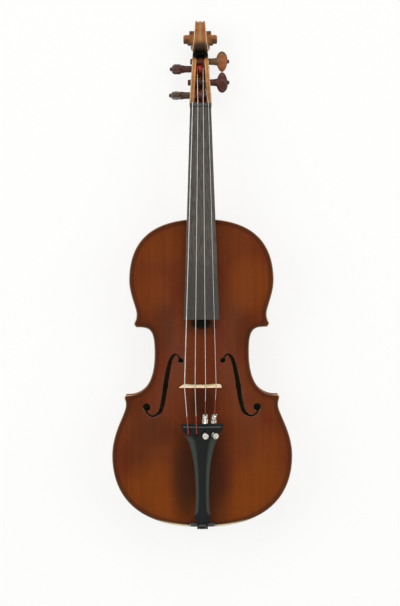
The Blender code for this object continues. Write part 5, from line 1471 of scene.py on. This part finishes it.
    def volute(self, hand: int) -> Mesh:
        """Carve one side of the scroll: a fluted crest, then steps that rise to the eye.

        Args:
            hand: 1 for the treble side, -1 for the bass side.

        Returns:
            The open mesh.
        """
        table = [(i, *pair) for i, pair in enumerate(zip(self.turns_radii, self.turns_halves))]
        curve = smooth_rows(table, self.steps_a_turn // 4)
        turn_steps = self.steps_a_turn
        eye_y, eye_z = self.eye
        rows = []
        for step, (_, radius, half) in enumerate(curve):
            turn = math.tau * step / turn_steps
            first = step < turn_steps
            foot = 0.0 if first else curve[step - turn_steps].z
            inner = curve[step + turn_steps].y if step + turn_steps < len(curve) else 0.0
            edge = min(self.chamfer, (half - foot) * 0.45)
            profile = []
            for i in range(9):
                share = i / 9
                x = blend(foot, half - edge * 0.8, share)
                if first:
                    dip = self.flute * math.sin(math.pi * min(1.0, share * 1.08)) ** 2
                else:
                    dip = 0.55 * math.sin(math.pi * share)
                profile.append((x, radius - dip))
            profile += [(half - edge * 0.4, radius - edge * 0.3), (half, radius - edge)]
            for share in (0.12, 0.3, 0.5, 0.7, 0.88, 1.0):
                sink = 1.1 * math.sin(math.pi * share) ** 0.8
                profile.append((half - sink, blend(radius - edge, inner, share)))
            rows.append([place(hand * x, eye_y + r * math.sin(turn), eye_z - r * math.cos(turn))
                         for x, r in profile])
        return sheet(rows)

    def scroll_wear(self, x: float, along: float, up: float) -> float:
        """Say how far a place on the scroll is from wear.

        Args:
            x: millimetres from the middle plane.
            along: millimetres from the eye, towards the tip.
            up: millimetres above the eye.

        Returns:
            The attribute rim: near 0 on the worn edges and the ridge, and more elsewhere.
        """
        out = math.hypot(along, up)
        turn = (math.atan2(along, -up) % math.tau) / math.tau * 4
        radius = float(np.interp(turn, range(5), self.turns_radii[:5]))
        half = float(np.interp(turn, range(5), self.turns_halves[:5]))
        if out < radius - self.flute - 1.0:
            return self.flank_mark
        share = x / half
        if abs(share - 1) < 0.12:
            return self.edge_mark
        if share < 0.1:
            return self.ridge_mark
        return self.flute_mark if 0.3 < share < 0.75 else self.crest_mark

    def make(self) -> None:
        """Carve the whole piece and mark its worn edges."""
        eye_y, eye_z = self.eye
        seat = Matrix.Translation(place(0, eye_y, eye_z)) @ Matrix.Rotation(math.pi / 2, 4, "Y")
        eye = turned([(0, -20.5), (4.2, -20.5), (5.1, -19.8), (5.3, -18.9), (5.3, 18.9),
                      (5.1, 19.8), (4.2, 20.5), (0, 20.5)], seat, 36)
        scroll = joined([self.volute(1), self.volute(-1)])
        bmesh.ops.remove_doubles(scroll, verts=scroll.verts, dist=0.00002)
        bmesh.ops.holes_fill(scroll, edges=[e for e in scroll.edges if e.is_boundary], sides=0)
        made = joined([self.shaft(), self.box_back(), self.cheek(1), self.cheek(-1), scroll, eye])
        rim = made.verts.layers.float.new("rim")
        rows = self.box_rows()
        for vert in made.verts:
            x, y, z = abs(vert.co.x / MM), (vert.co.y - FOOT) / MM, vert.co.z / MM
            vert[rim] = 1.0
            if BOX_AT < y < THROAT_AT - 3:
                front, back, half = through(rows, y)
                if front - z < self.chamfer * 1.2 and x > half - self.chamfer * 1.6:
                    vert[rim] = self.cheek_mark
            elif y > self.mortise_ends[1] + 0.2:
                vert[rim] = self.scroll_wear(x, y - eye_y, z - eye_z)
        publish(made, "neck_and_scroll", Finish.NECK,
                stands_for=["neck"], sharp=38, recalculate=False)


# Each peg's place along and up, the side of its head, and how far the head is turned.
PEGS = {
    "c": (520.4, 29.5, -1, math.radians(90)),
    "a": (536.6, 23.5, 1, 0.0),
    "g": (553.3, 20.3, -1, math.radians(62)),
    "d": (563.0, 14.3, 1, 0.0),
}


@dataclass
class Peg:
    """One tuning peg: a tapered shaft, a collar, a flat egg-shaped head and its pip."""

    name: str
    finish: Finish
    narrow: float
    stub: float
    out: float = 0.0
    reach: float = 20.0
    head: float = 13.0
    width: float = 25.0
    thickness: float = 10.2
    tallness: float = 6.8
    middle: float = 6.3
    dish: float = 0.16

    def radius(self, along: float) -> float:
        """The shaft's radius, which swells towards the head."""
        return 4.2 + (along - self.reach) / 60

    def make(self) -> None:
        """Turn the shaft and carve the head."""
        y, z, side, turn = PEGS[self.name]
        seat = Matrix.Translation(place(0, y, z)) @ Matrix.Rotation(side * math.pi / 2, 4, "Y")
        seat = seat @ Matrix.Rotation(turn, 4, "Z")
        half = blend(BOX_HALF, THROAT_HALF, (y - BOX_AT) / (THROAT_AT - BOX_AT))
        tip = -half - self.stub
        reach = self.reach + self.out
        shaft = turned([
            (0, tip), (self.radius(tip) - 0.9, tip), (self.radius(tip), tip + 0.7),
            (self.radius(reach - 5), reach - 5), (self.radius(reach) + 0.1, reach - 2.6),
            (self.radius(reach) + 0.5, reach - 1.2), (4.9, reach), (4.8, reach + 1.2),
            (4.2, reach + 2.6), (3.4, reach + 5), (0, reach + 6),
        ], seat, 40)
        top = reach + self.head
        loops = []
        count = 26
        for i in range(count + 1):
            across = -math.cos(math.pi * i / count)
            lean = 1 - self.narrow * across
            tall = self.tallness * max(0.012, 1 - abs(across) ** 2.15) ** 0.5 * min(lean, 1.05)
            thick = self.thickness / 2 * (1 - 0.4 * abs(across) ** 1.8)
            thick *= max(0.05, 1 - abs(across) ** 6) ** 0.5
            loop = []
            for step in range(24):
                t = math.tau * step / 24
                c, s = math.cos(t), math.sin(t)
                dish = 1 - self.dish * (1 - abs(s)) * (abs(across) > 0.2)
                spot = Vector((curved(c, 0.6) * thick * dish, across * self.width / 2,
                               reach + self.middle + curved(s, 0.8) * tall))
                loop.append(seat @ (spot * MM))
            loops.append(loop)
        pip = turned([(0, top - 1.6), (2.3, top - 1.4), (2.1, top - 0.3), (2.4, top + 0.3),
                      (2.4, top + 1.2), (1.9, top + 2.0), (0, top + 2.38)], seat, 24)
        node = f"peg_{self.name}"
        publish(joined([shaft, lofted(loops)]), f"turned_{node}", self.finish,
                body=node, stands_for=[node], sharp=45, recalculate=False)
        publish(pip, f"peg_pip_{self.name}", Finish.PIP, body=node,
                sharp=45)


@dataclass
class Tailpiece:
    """The tailpiece: round near the body's edge, wide and thin under the strings."""

    start: float = 5.9
    length: float = 119.4
    bottom: float = 64.1
    pitch: float = math.radians(10.6)
    keyhole_at: float = 112.7
    # Share of the length, half width, radius on top, depth, and how far the lower face follows it.
    rows: tuple = (
        (0.0, 8.43, 13.0, 6.4, 0.0), (0.05, 9.8, 13.0, 7.0, 0.0), (0.18, 8.5, 11.5, 7.6, 0.0),
        (0.32, 8.0, 11.0, 7.6, 0.0), (0.46, 8.64, 11.5, 7.4, 0.05), (0.59, 10.0, 13.0, 7.0, 0.15),
        (0.72, 12.85, 17.0, 6.4, 0.35), (0.80, 15.65, 23.0, 5.8, 0.55),
        (0.87, 19.2, 32.0, 5.2, 0.75), (0.94, 23.5, 40.0, 4.6, 0.9),
        (0.975, 25.0, 42.0, 4.6, 0.92), (1.0, 24.6, 42.0, 4.6, 0.92),
    )
    keyholes: tuple = (("c", -16.3), ("g", -6.5), ("d", 3.3), ("a", 13.1))
    edge_round: float = 1.0
    keyhole_reach: float = 2.3
    grid: float = 2.4

    def __post_init__(self) -> None:
        """Smooth the table of sections."""
        self.table = np.array([list(row) for row in smooth_rows(self.rows, 6)])

    def read(self, column: int, y: Array) -> Array:
        """One column of the table at places along the instrument."""
        return np.interp((y - self.start) / self.length, self.table[:, 0], self.table[:, column])

    def fall(self, x: Array, y: Array) -> Array:
        """How far the upper face has fallen from its crown."""
        radius = self.read(2, y)
        return radius - np.sqrt(radius ** 2 - np.minimum(np.abs(x), radius * 0.95) ** 2)

    def crown(self, y: Array) -> Array:
        """Height of the crown."""
        return self.bottom + math.tan(self.pitch) * (y - self.start)

    def make(self, carver: Body) -> None:
        """Carve the tailpiece with its keyholes.

        Args:
            carver: carves a plate from its outline and its faces' heights.
        """
        end = self.start + self.length
        half = [Vector((5.6, self.start)), Vector((7.4, self.start + 0.7)),
                Vector((8.7, self.start + 2.4))]
        for share in [0.05 + 0.95 * i / 44 for i in range(45)]:
            y = self.start + share * self.length
            half.append(Vector((float(self.read(1, np.array(y))), y)))
        half.append(Vector((22.5, end + 0.25)))
        edge = [Vector((0, self.start))] + half + [Vector((0, end + 0.3))]
        edge += mirrored(half[::-1])
        holes = []
        half_gap = 0.33
        for name, x in self.keyholes:
            hole = arc((x, self.keyhole_at), self.keyhole_reach, math.pi / 2 + half_gap,
                       math.tau - 2 * half_gap, 28)
            if name in "cg":
                hole += [Vector((x + across, self.keyhole_at + along))
                         for across, along in ((0.75, 4.6), (0, 5.3), (-0.75, 4.6))]
            holes.append(hole)

        def outer(x: Array, y: Array, gap: Array) -> Array:
            """The round upper face."""
            return self.crown(y) - self.fall(x, y) - rounded(gap, self.edge_round)

        def inner(x: Array, y: Array, gap: Array) -> Array:
            """The flatter lower face."""
            under = self.crown(y) - self.read(3, y) - self.read(4, y) * self.fall(x, y)
            return np.minimum(under + rounded(gap, self.edge_round), outer(x, y, gap) - 0.6)

        made = carver.plate(edge, holes, (outer, inner), np.array([p[:] for p in edge]),
                            self.grid, insets=(0.12, 0.25, 0.35, 0.5))
        # The attribute rim places the painted sheen: 1 on the middle line and at both ends, falling
        # towards the sides, where the side lamps' reflection is painted lighter.
        rim = made.verts.layers.float["rim"]
        for vert in made.verts:
            y = (vert.co.y - FOOT) / MM
            share = abs(vert.co.x / MM) / float(self.read(1, np.array(y)))
            fade = within((y - 8) / 12) * within((121 - y) / 14)
            vert[rim] = 1.0 - min(1.0, share) * fade
        publish(made, "carved_tailpiece", Finish.TAILPIECE,
                stands_for=["tailpiece"], sharp=50)


@dataclass
class Board:
    """The fingerboard and the grooved nut."""

    start: float = 249.2
    end: float = 504.9
    root: float = 357.0
    hollow: float = 3.0
    glue_line: float = 0.3
    string_places: tuple = (-9.5, -3.17, 3.17, 9.5)
    # Each section of the nut: how far along it is, its height, and how deep its grooves are.
    nut_steps: tuple = ((0.0, -0.5, 0.0), (0.5, 0.0, 0.5), (2.2, 0.0, 0.6), (3.2, -0.5, 0.5),
                        (4.1, -1.3, 0.2), (4.5, -2.2, 0.0))

    def make(self, head: Head) -> None:
        """Build both.

        Args:
            head: the neck that they stand on.
        """
        self.make_board(head)
        self.make_nut(head)

    def make_board(self, head: Head) -> None:
        """The fingerboard, hollowed where it stands free over the body.

        Args:
            head: the neck that it is glued to.
        """
        shares = [math.sin(math.pi / 2 * (j / 16 - 1)) for j in range(33)]
        loops = []
        for i in range(41):
            y = blend(self.start, self.end, i / 40)
            half = head.board_half(y) + head.board_overhang
            under = head.plane(y) + self.glue_line
            loop = []
            for share in shares:
                x = half * share
                edge = 0.45 * max(0.0, (abs(share) - 0.975) / 0.025)
                loop.append(place(x, y, head.crown(y) - dropped(x, BOARD_RADIUS) - edge))
            hollow = self.hollow * within((self.root - y) / 8)
            for share in shares[::-1]:
                up = hollow * within(1 - (share / 0.88) ** 2)
                loop.append(place(half * share, y, under + up))
            loops.append(loop)
        publish(lofted(loops), "long_fingerboard", Finish.BOARD,
                stands_for=["fingerboard"], sharp=45)

    def make_nut(self, head: Head) -> None:
        """The nut, with a groove for each string.

        Args:
            head: the neck that it is glued to.
        """
        loops = []
        half = NUT_HALF
        for along, height, ridge in self.nut_steps:
            y = NUT_AT + along
            top = head.crown(NUT_AT) + 0.5 + height
            loop = []
            for i in range(97):
                x = half * (i / 48 - 1)
                near = min(abs(x - at) for at in self.string_places)
                up = ridge * within((near - 0.55) / 0.35)
                side = 0.5 * max(0.0, (abs(x) - half + 0.6) / 0.6)
                loop.append(place(x, y, top - dropped(x, BOARD_RADIUS) + up - side))
            loop += [place(x, y, head.plane(y) + self.glue_line) for x in (half, -half)]
            loops.append(loop)
        publish(lofted(loops), "grooved_nut", Finish.EBONY,
                stands_for=["nut"], sharp=35)


@dataclass
class Bridge:
    """The bridge, cut through with its heart, thick at the feet and thin at the strings."""

    at: float = 170.0
    offset: float = -1.9
    crown_of_top: float = 65.6
    foot: float = 4.8
    crest: float = 1.6
    width: float = 50.6
    crown: float = 100.55
    # Half the heart, as millimetres across and shares of the height.
    heart: tuple = ((0, 0.30), (3.0, 0.38), (4.9, 0.47), (4.7, 0.56), (2.4, 0.60), (0, 0.53))
    cuts: tuple = (-24.6, -23.5, -22, -20.5, -19, 19, 20.5, 22, 23.2, 24.2, 24.9)
    # The places of the inner and the outer string on each side.
    tops: dict = field(default_factory=lambda: {-1: ((6.22, 99.85), (18.65, 96.16)),
                                                1: ((6.22, 99.83), (18.65, 96.35))})

    def floor(self, body: Body, x: float) -> float:
        """Find what a foot stands on.

        Args:
            body: the arched top.
            x: millimetres from the bridge's middle.

        Returns:
            Its height.
        """
        places = np.array([self.at - self.foot / 2, self.at, self.at + self.foot / 2])
        across = np.full(3, x + self.offset)
        rise = (body.top_arch - body.edge_thickness) * body.swell(across, places, body.arch_line)
        return float(body.top_glue + body.edge_thickness + rise.max()) + 0.6

    def half(self, body: Body, side: int) -> Row:
        """Draw one half of its outline.

        Args:
            body: the arched top.
            side: 1 for the treble side, -1 for the bass side.

        Returns:
            The points, from the crown down to the arch between the feet.
        """
        crown = self.crown
        height = crown - self.crown_of_top
        inner, outer = self.tops[side]
        span = outer[0]
        foot = self.width / 2
        near = foot - 11.5

        def up(x: float, share: float) -> tuple[float, float]:
            """A point at a share of the bridge's height."""
            return (x, self.crown_of_top + height * share)

        top = [(0, crown), (3.1, crown - 0.1), inner, (12.7, inner[1] - 1.35), outer,
               (span + 2.6, outer[1] - 1.5)]
        waist = [(span + 3.1, outer[1] - 2.8), (span + 2.2, outer[1] - 4.6), up(span - 1.6, 0.66),
                 up(span - 4.4, 0.60), up(span - 4.2, 0.50), up(span - 1.4, 0.46),
                 up(span + 2.6, 0.40), up(span + 3.6, 0.31), up(span + 1.2, 0.25),
                 up(span - 1.6, 0.24), up(span - 0.6, 0.15), up(foot - 3.0, 0.07)]
        low = self.floor(body, side * foot)
        under = self.floor(body, side * near)
        arch = [(near, under + 2.2), up(near - 0.6, 0.14), up(near - 4.0, 0.22),
                up(near - 9.0, 0.27), up(0, 0.285)]
        rows = smooth_rows(top, 4) + smooth_rows(waist, 4)
        rows += [Vector((foot, low + 1.6)), Vector((foot, low))]
        for x in [blend(foot, near, i / 6) for i in range(1, 6)]:
            rows.append(Vector((x, self.floor(body, side * x))))
        return rows + [Vector((near, under))] + smooth_rows(arch, 4)

    def make(self, body: Body) -> None:
        """Cut it out and taper it.

        Args:
            body: the arched top that its feet are fitted to.
        """
        right = self.half(body, 1)
        left = self.half(body, -1)
        outline = right + mirrored(left[-2:0:-1])
        base = right[-1].y
        tall = right[0].y - base
        heart = smooth_rows([(x, base + tall * share) for x, share in self.heart], 5)
        heart += mirrored(heart[-2:0:-1])
        outlines = [[Vector((p.x, -0.5, p.y)) for p in row] for row in (outline, heart)]
        made = extruded(outlines, Vector((0, 1, 0)))
        sliced(made, [(Vector((x, 0, 0)), Vector((1, 0, 0))) for x in self.cuts], 0.001)
        feet = min(p.y for p in outline)
        for vert in made.verts:
            x, side, z = vert.co
            share = (z - feet) / (right[0].y - feet)
            thick = blend(self.foot, self.crest, share)
            back = self.at - self.crest / 2 - (self.foot - self.crest) / 2 * (1 - share)
            end = self.width / 2 - abs(x)
            if x < 0:
                slim = min(1.0, 0.16 + max(0.0, end) / 6.8)
            else:
                slim = min(1.0, 0.45 + 0.55 * math.sqrt(max(0.0, min(end, 3.0)) / 3.0))
            y = back + (thick * slim if side > 0 else 0.0)
            vert.co = place(x + self.offset, y, z)
        rims = [e for e in made.edges if e.is_manifold and e.calc_face_angle(0) > 1.2]
        bmesh.ops.bevel(made, geom=rims, offset=0.22 * MM, offset_type="OFFSET", segments=2,
                        profile=0.5, affect="EDGES", material=-1, clamp_overlap=True)
        publish(made, "cut_bridge", Finish.BRIDGE,
                stands_for=["bridge"], sharp=40)


@dataclass
class TunerHead:
    """The knurled head of one fine tuner."""

    name: str
    radius: float = 3.7
    low: float = 5.4
    high: float = 9.6
    ridges: int = 26
    knurl: float = 0.055
    collar_top: float = 6.0

    def seat(self) -> Matrix:
        """Read how the tuner stands from the record's own joints.

        Returns:
            The frame that stands square on the tailpiece.
        """
        joints = {j["name"]: j for j in frame["record"]["behaviour"]["joints"]}
        up = -Vector(joints[f"tuner_{self.name}_travel"]["axis"]).normalized()
        across = Vector(joints[f"tuner_{self.name}_lever"]["axis"]).normalized()
        along = up.cross(across)
        spot = Vector(joints[f"tuner_{self.name}_turn"]["pos_m"]) - up * self.collar_top * MM
        turn = Matrix((across, along, up)).transposed().to_4x4()
        return Matrix.Translation(spot) @ turn

    def make(self) -> None:
        """Turn the head, then cut its knurls."""
        r = self.radius
        low, high = self.low, self.high
        profile = [(0, low), (r * 0.62, low), (r * 0.72, low + 0.3), (r * 0.78, low + 0.7),
                   (r * 0.94, low + 0.9), (r, low + 1.15), (r, blend(low, high, 0.5)),
                   (r, high - 0.75), (r * 0.93, high - 0.35), (r * 0.84, high - 0.2),
                   (r * 0.8, high - 0.05), (r * 0.55, high), (r * 0.5, high - 0.2),
                   (0, high - 0.25)]
        made = turned(profile, Matrix.Identity(4), self.ridges * 4)
        for vert in made.verts:
            out = math.hypot(vert.co.x, vert.co.y) / MM
            if out > r * 0.9:
                angle = math.atan2(vert.co.y, vert.co.x)
                grow = 1 - self.knurl * (0.5 - 0.5 * math.cos(angle * self.ridges))
                vert.co.x *= grow
                vert.co.y *= grow
        bmesh.ops.transform(made, matrix=self.seat(), verts=made.verts)
        node = f"tuner_head_{self.name}"
        publish(made, f"knurled_head_{self.name}", Finish.NICKEL,
                body=node, stands_for=[node], sharp=28)


@dataclass
class PlainNodes:
    """The solids that keep their own shape and only take a finish."""

    looks: dict[str, Finish] = field(default_factory=lambda: {
        "inside": Finish.BARE, "ebony": Finish.EBONY, "gut": Finish.GUT, "neck": Finish.NECK,
        "bridge": Finish.BRIDGE, "pegs": Finish.PEG_BROWN, "nickel": Finish.NICKEL,
        "top": Finish.TOP, "back": Finish.BACK, "ribs": Finish.RIB,
    })

    def make(self) -> None:
        """Give each CAD node the finish of its slot."""
        slots = {p["node"]: p["material_slot"] for p in frame["record"]["subparts"]}
        red = tint(152, 54, 56)
        strings = {
            "c": WoundString("string_wound_c", tint(214, 209, 203), red, 135, 513,
                             tint(122, 62, 53)),
            "g": WoundString("string_wound_g", tint(198, 193, 188), red, 135.4, 545,
                             tint(198, 53, 50)),
            "d": WoundString("string_wound_d", tint(194, 189, 184), red, 153.4, 553,
                             tint(131, 69, 64)),
            "a": WoundString("string_wound_a", tint(198, 193, 188), red, 154.7, 528,
                             tint(53, 57, 41), sleeve=tint(228, 50, 53)),
        }
        wound = {name: look.build() for name, look in strings.items()}
        for node, piece in frame["nodes"].items():
            slot = slots[node]
            piece.data.materials.clear()
            if slot == "strings":
                finish = wound[node[-1]]
            elif node == "tailpiece_fret":
                finish = Finish.FRET.material()
            else:
                finish = self.looks[slot].material()
            piece.data.materials.append(finish)


def background_rays(tree: bpy.types.NodeTree) -> bpy.types.NodeSocket:
    """Tell the rays that show the background from those that light the instrument.

    Args:
        tree: the nodes to add to.

    Returns:
        1 for the camera's own rays and for those off metal or through glass, else 0.
    """
    rays = tree.nodes.new("ShaderNodeLightPath")
    total = rays.outputs["Is Camera Ray"]
    for name in ("Is Glossy Ray", "Is Transmission Ray"):
        both = tree.nodes.new("ShaderNodeMath")
        tree.links.new(total, both.inputs[0])
        tree.links.new(rays.outputs[name], both.inputs[1])
        total = both.outputs[0]
    return total


@dataclass
class Studio:
    """The pale floor, the soft lights and the camera over the instrument."""

    photo_width: float = 400.0
    photo_height: float = 606.0
    mm_per_pixel: float = 1.2
    body_foot_pixel: float = 527.2
    centre_line_pixel: float = 201.5
    camera_height: float = 2.6
    edge_height: float = 4.0
    roll: float = math.radians(-0.27)
    sensor: float = 36.0
    floor_half: float = 6.0
    floor_glow: float = 0.84
    room_light: float = 0.22
    backdrop_light: float = 0.97
    # Each lamp: its name, its place and side in metres, and its power in watts.
    lamps: tuple = (
        ("left_lamp", (-2.2, 0.4, 1.9), 2.2, 46), ("right_lamp", (2.2, 0.4, 1.9), 2.2, 41),
        ("head_lamp", (0.0, 2.4, 2.0), 1.8, 31), ("foot_lamp", (0.0, -2.4, 2.0), 1.8, 17),
    )

    def make_camera(self) -> None:
        """A camera that looks straight down, framed as the photograph is."""
        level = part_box("top_plate")[0].z + self.edge_height * MM
        across = -(self.centre_line_pixel - self.photo_width / 2) * self.mm_per_pixel * MM
        along = (self.body_foot_pixel - self.photo_height / 2) * self.mm_per_pixel * MM
        data = bpy.data.cameras.new("camera")
        data.sensor_width = self.sensor
        distance = self.camera_height - level
        data.lens = self.sensor * distance / (self.photo_height * self.mm_per_pixel * MM)
        camera = shown("camera", data)
        camera.location = (across, FOOT + along, self.camera_height)
        camera.rotation_euler = (0, 0, self.roll)
        bpy.context.scene.camera = camera

    def make_floor(self) -> None:
        """A plain pale floor that keeps the instrument's shadow."""
        made = bmesh.new()
        bmesh.ops.create_grid(made, x_segments=1, y_segments=1, size=self.floor_half)
        mesh = settled(made, "floor")
        s = Shader("pale_floor")
        glow = s.add("ShaderNodeEmission", {}, tint(254, 254, 253), 1.0)
        seen = Wire(s, background_rays(s.tree))
        surface = Wire(s, s.surface.outputs[0])
        mixed = s.add("ShaderNodeMixShader", {}, seen * self.floor_glow, surface, glow)
        s.feed(s.tree.nodes["Material Output"].inputs[0], mixed)
        mesh.materials.append(s.finish(Base_Color=tint(246, 245, 243), Roughness=0.9))
        shown("floor", mesh)

    def make_light(self, name: str, spot: tuple[float, float, float], size: float,
                   power: float) -> None:
        """Hang one soft square lamp that looks at the instrument.

        Args:
            name: the lamp's name.
            spot: where it hangs, in metres.
            size: its side, in metres.
            power: its power, in watts.
        """
        data = bpy.data.lights.new(name, "AREA")
        data.shape = "SQUARE"
        data.size = size
        data.energy = power
        lamp = shown(name, data)
        lamp.location = spot
        lamp.rotation_euler = (-Vector(spot)).to_track_quat("-Z", "Y").to_euler()

    def make_world(self) -> None:
        """A white room that lights the instrument less than it shows behind it."""
        world = bpy.data.worlds.new("studio")
        world.use_nodes = True
        background = world.node_tree.nodes["Background"]
        background.inputs["Color"].default_value = (1, 1, 1, 1)
        level = world.node_tree.nodes.new("ShaderNodeMapRange")
        level.inputs["To Min"].default_value = self.room_light
        level.inputs["To Max"].default_value = self.backdrop_light
        world.node_tree.links.new(background_rays(world.node_tree), level.inputs["Value"])
        world.node_tree.links.new(level.outputs[0], background.inputs["Strength"])
        bpy.context.scene.world = world

    def make(self) -> None:
        """Build the studio."""
        self.make_camera()
        self.make_floor()
        for lamp in self.lamps:
            self.make_light(*lamp)
        self.make_world()
        bpy.context.scene.view_settings.view_transform = "Standard"


def main() -> None:
    """Dress the instrument, piece by piece."""
    logging.basicConfig(level=logging.INFO, format="%(name)s %(message)s")
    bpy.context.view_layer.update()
    PlainNodes().make()
    body = Body()
    body.make()
    head = Head()
    head.make()
    Board().make(head)
    Bridge().make(body)
    Tailpiece().make(body)
    for peg in (Peg("c", Finish.PEG_GREY, narrow=0.0, stub=0.3, out=3.0),
                Peg("g", Finish.PEG_BROWN, narrow=0.05, stub=0.3, out=2.0),
                Peg("d", Finish.PEG_LIGHT, narrow=-0.16, stub=2.5),
                Peg("a", Finish.PEG_RED, narrow=0.16, stub=3.8)):
        peg.make()
    for name in ("d", "a"):
        TunerHead(name).make()
    Studio().make()


if __name__ == "__main__":
    main()
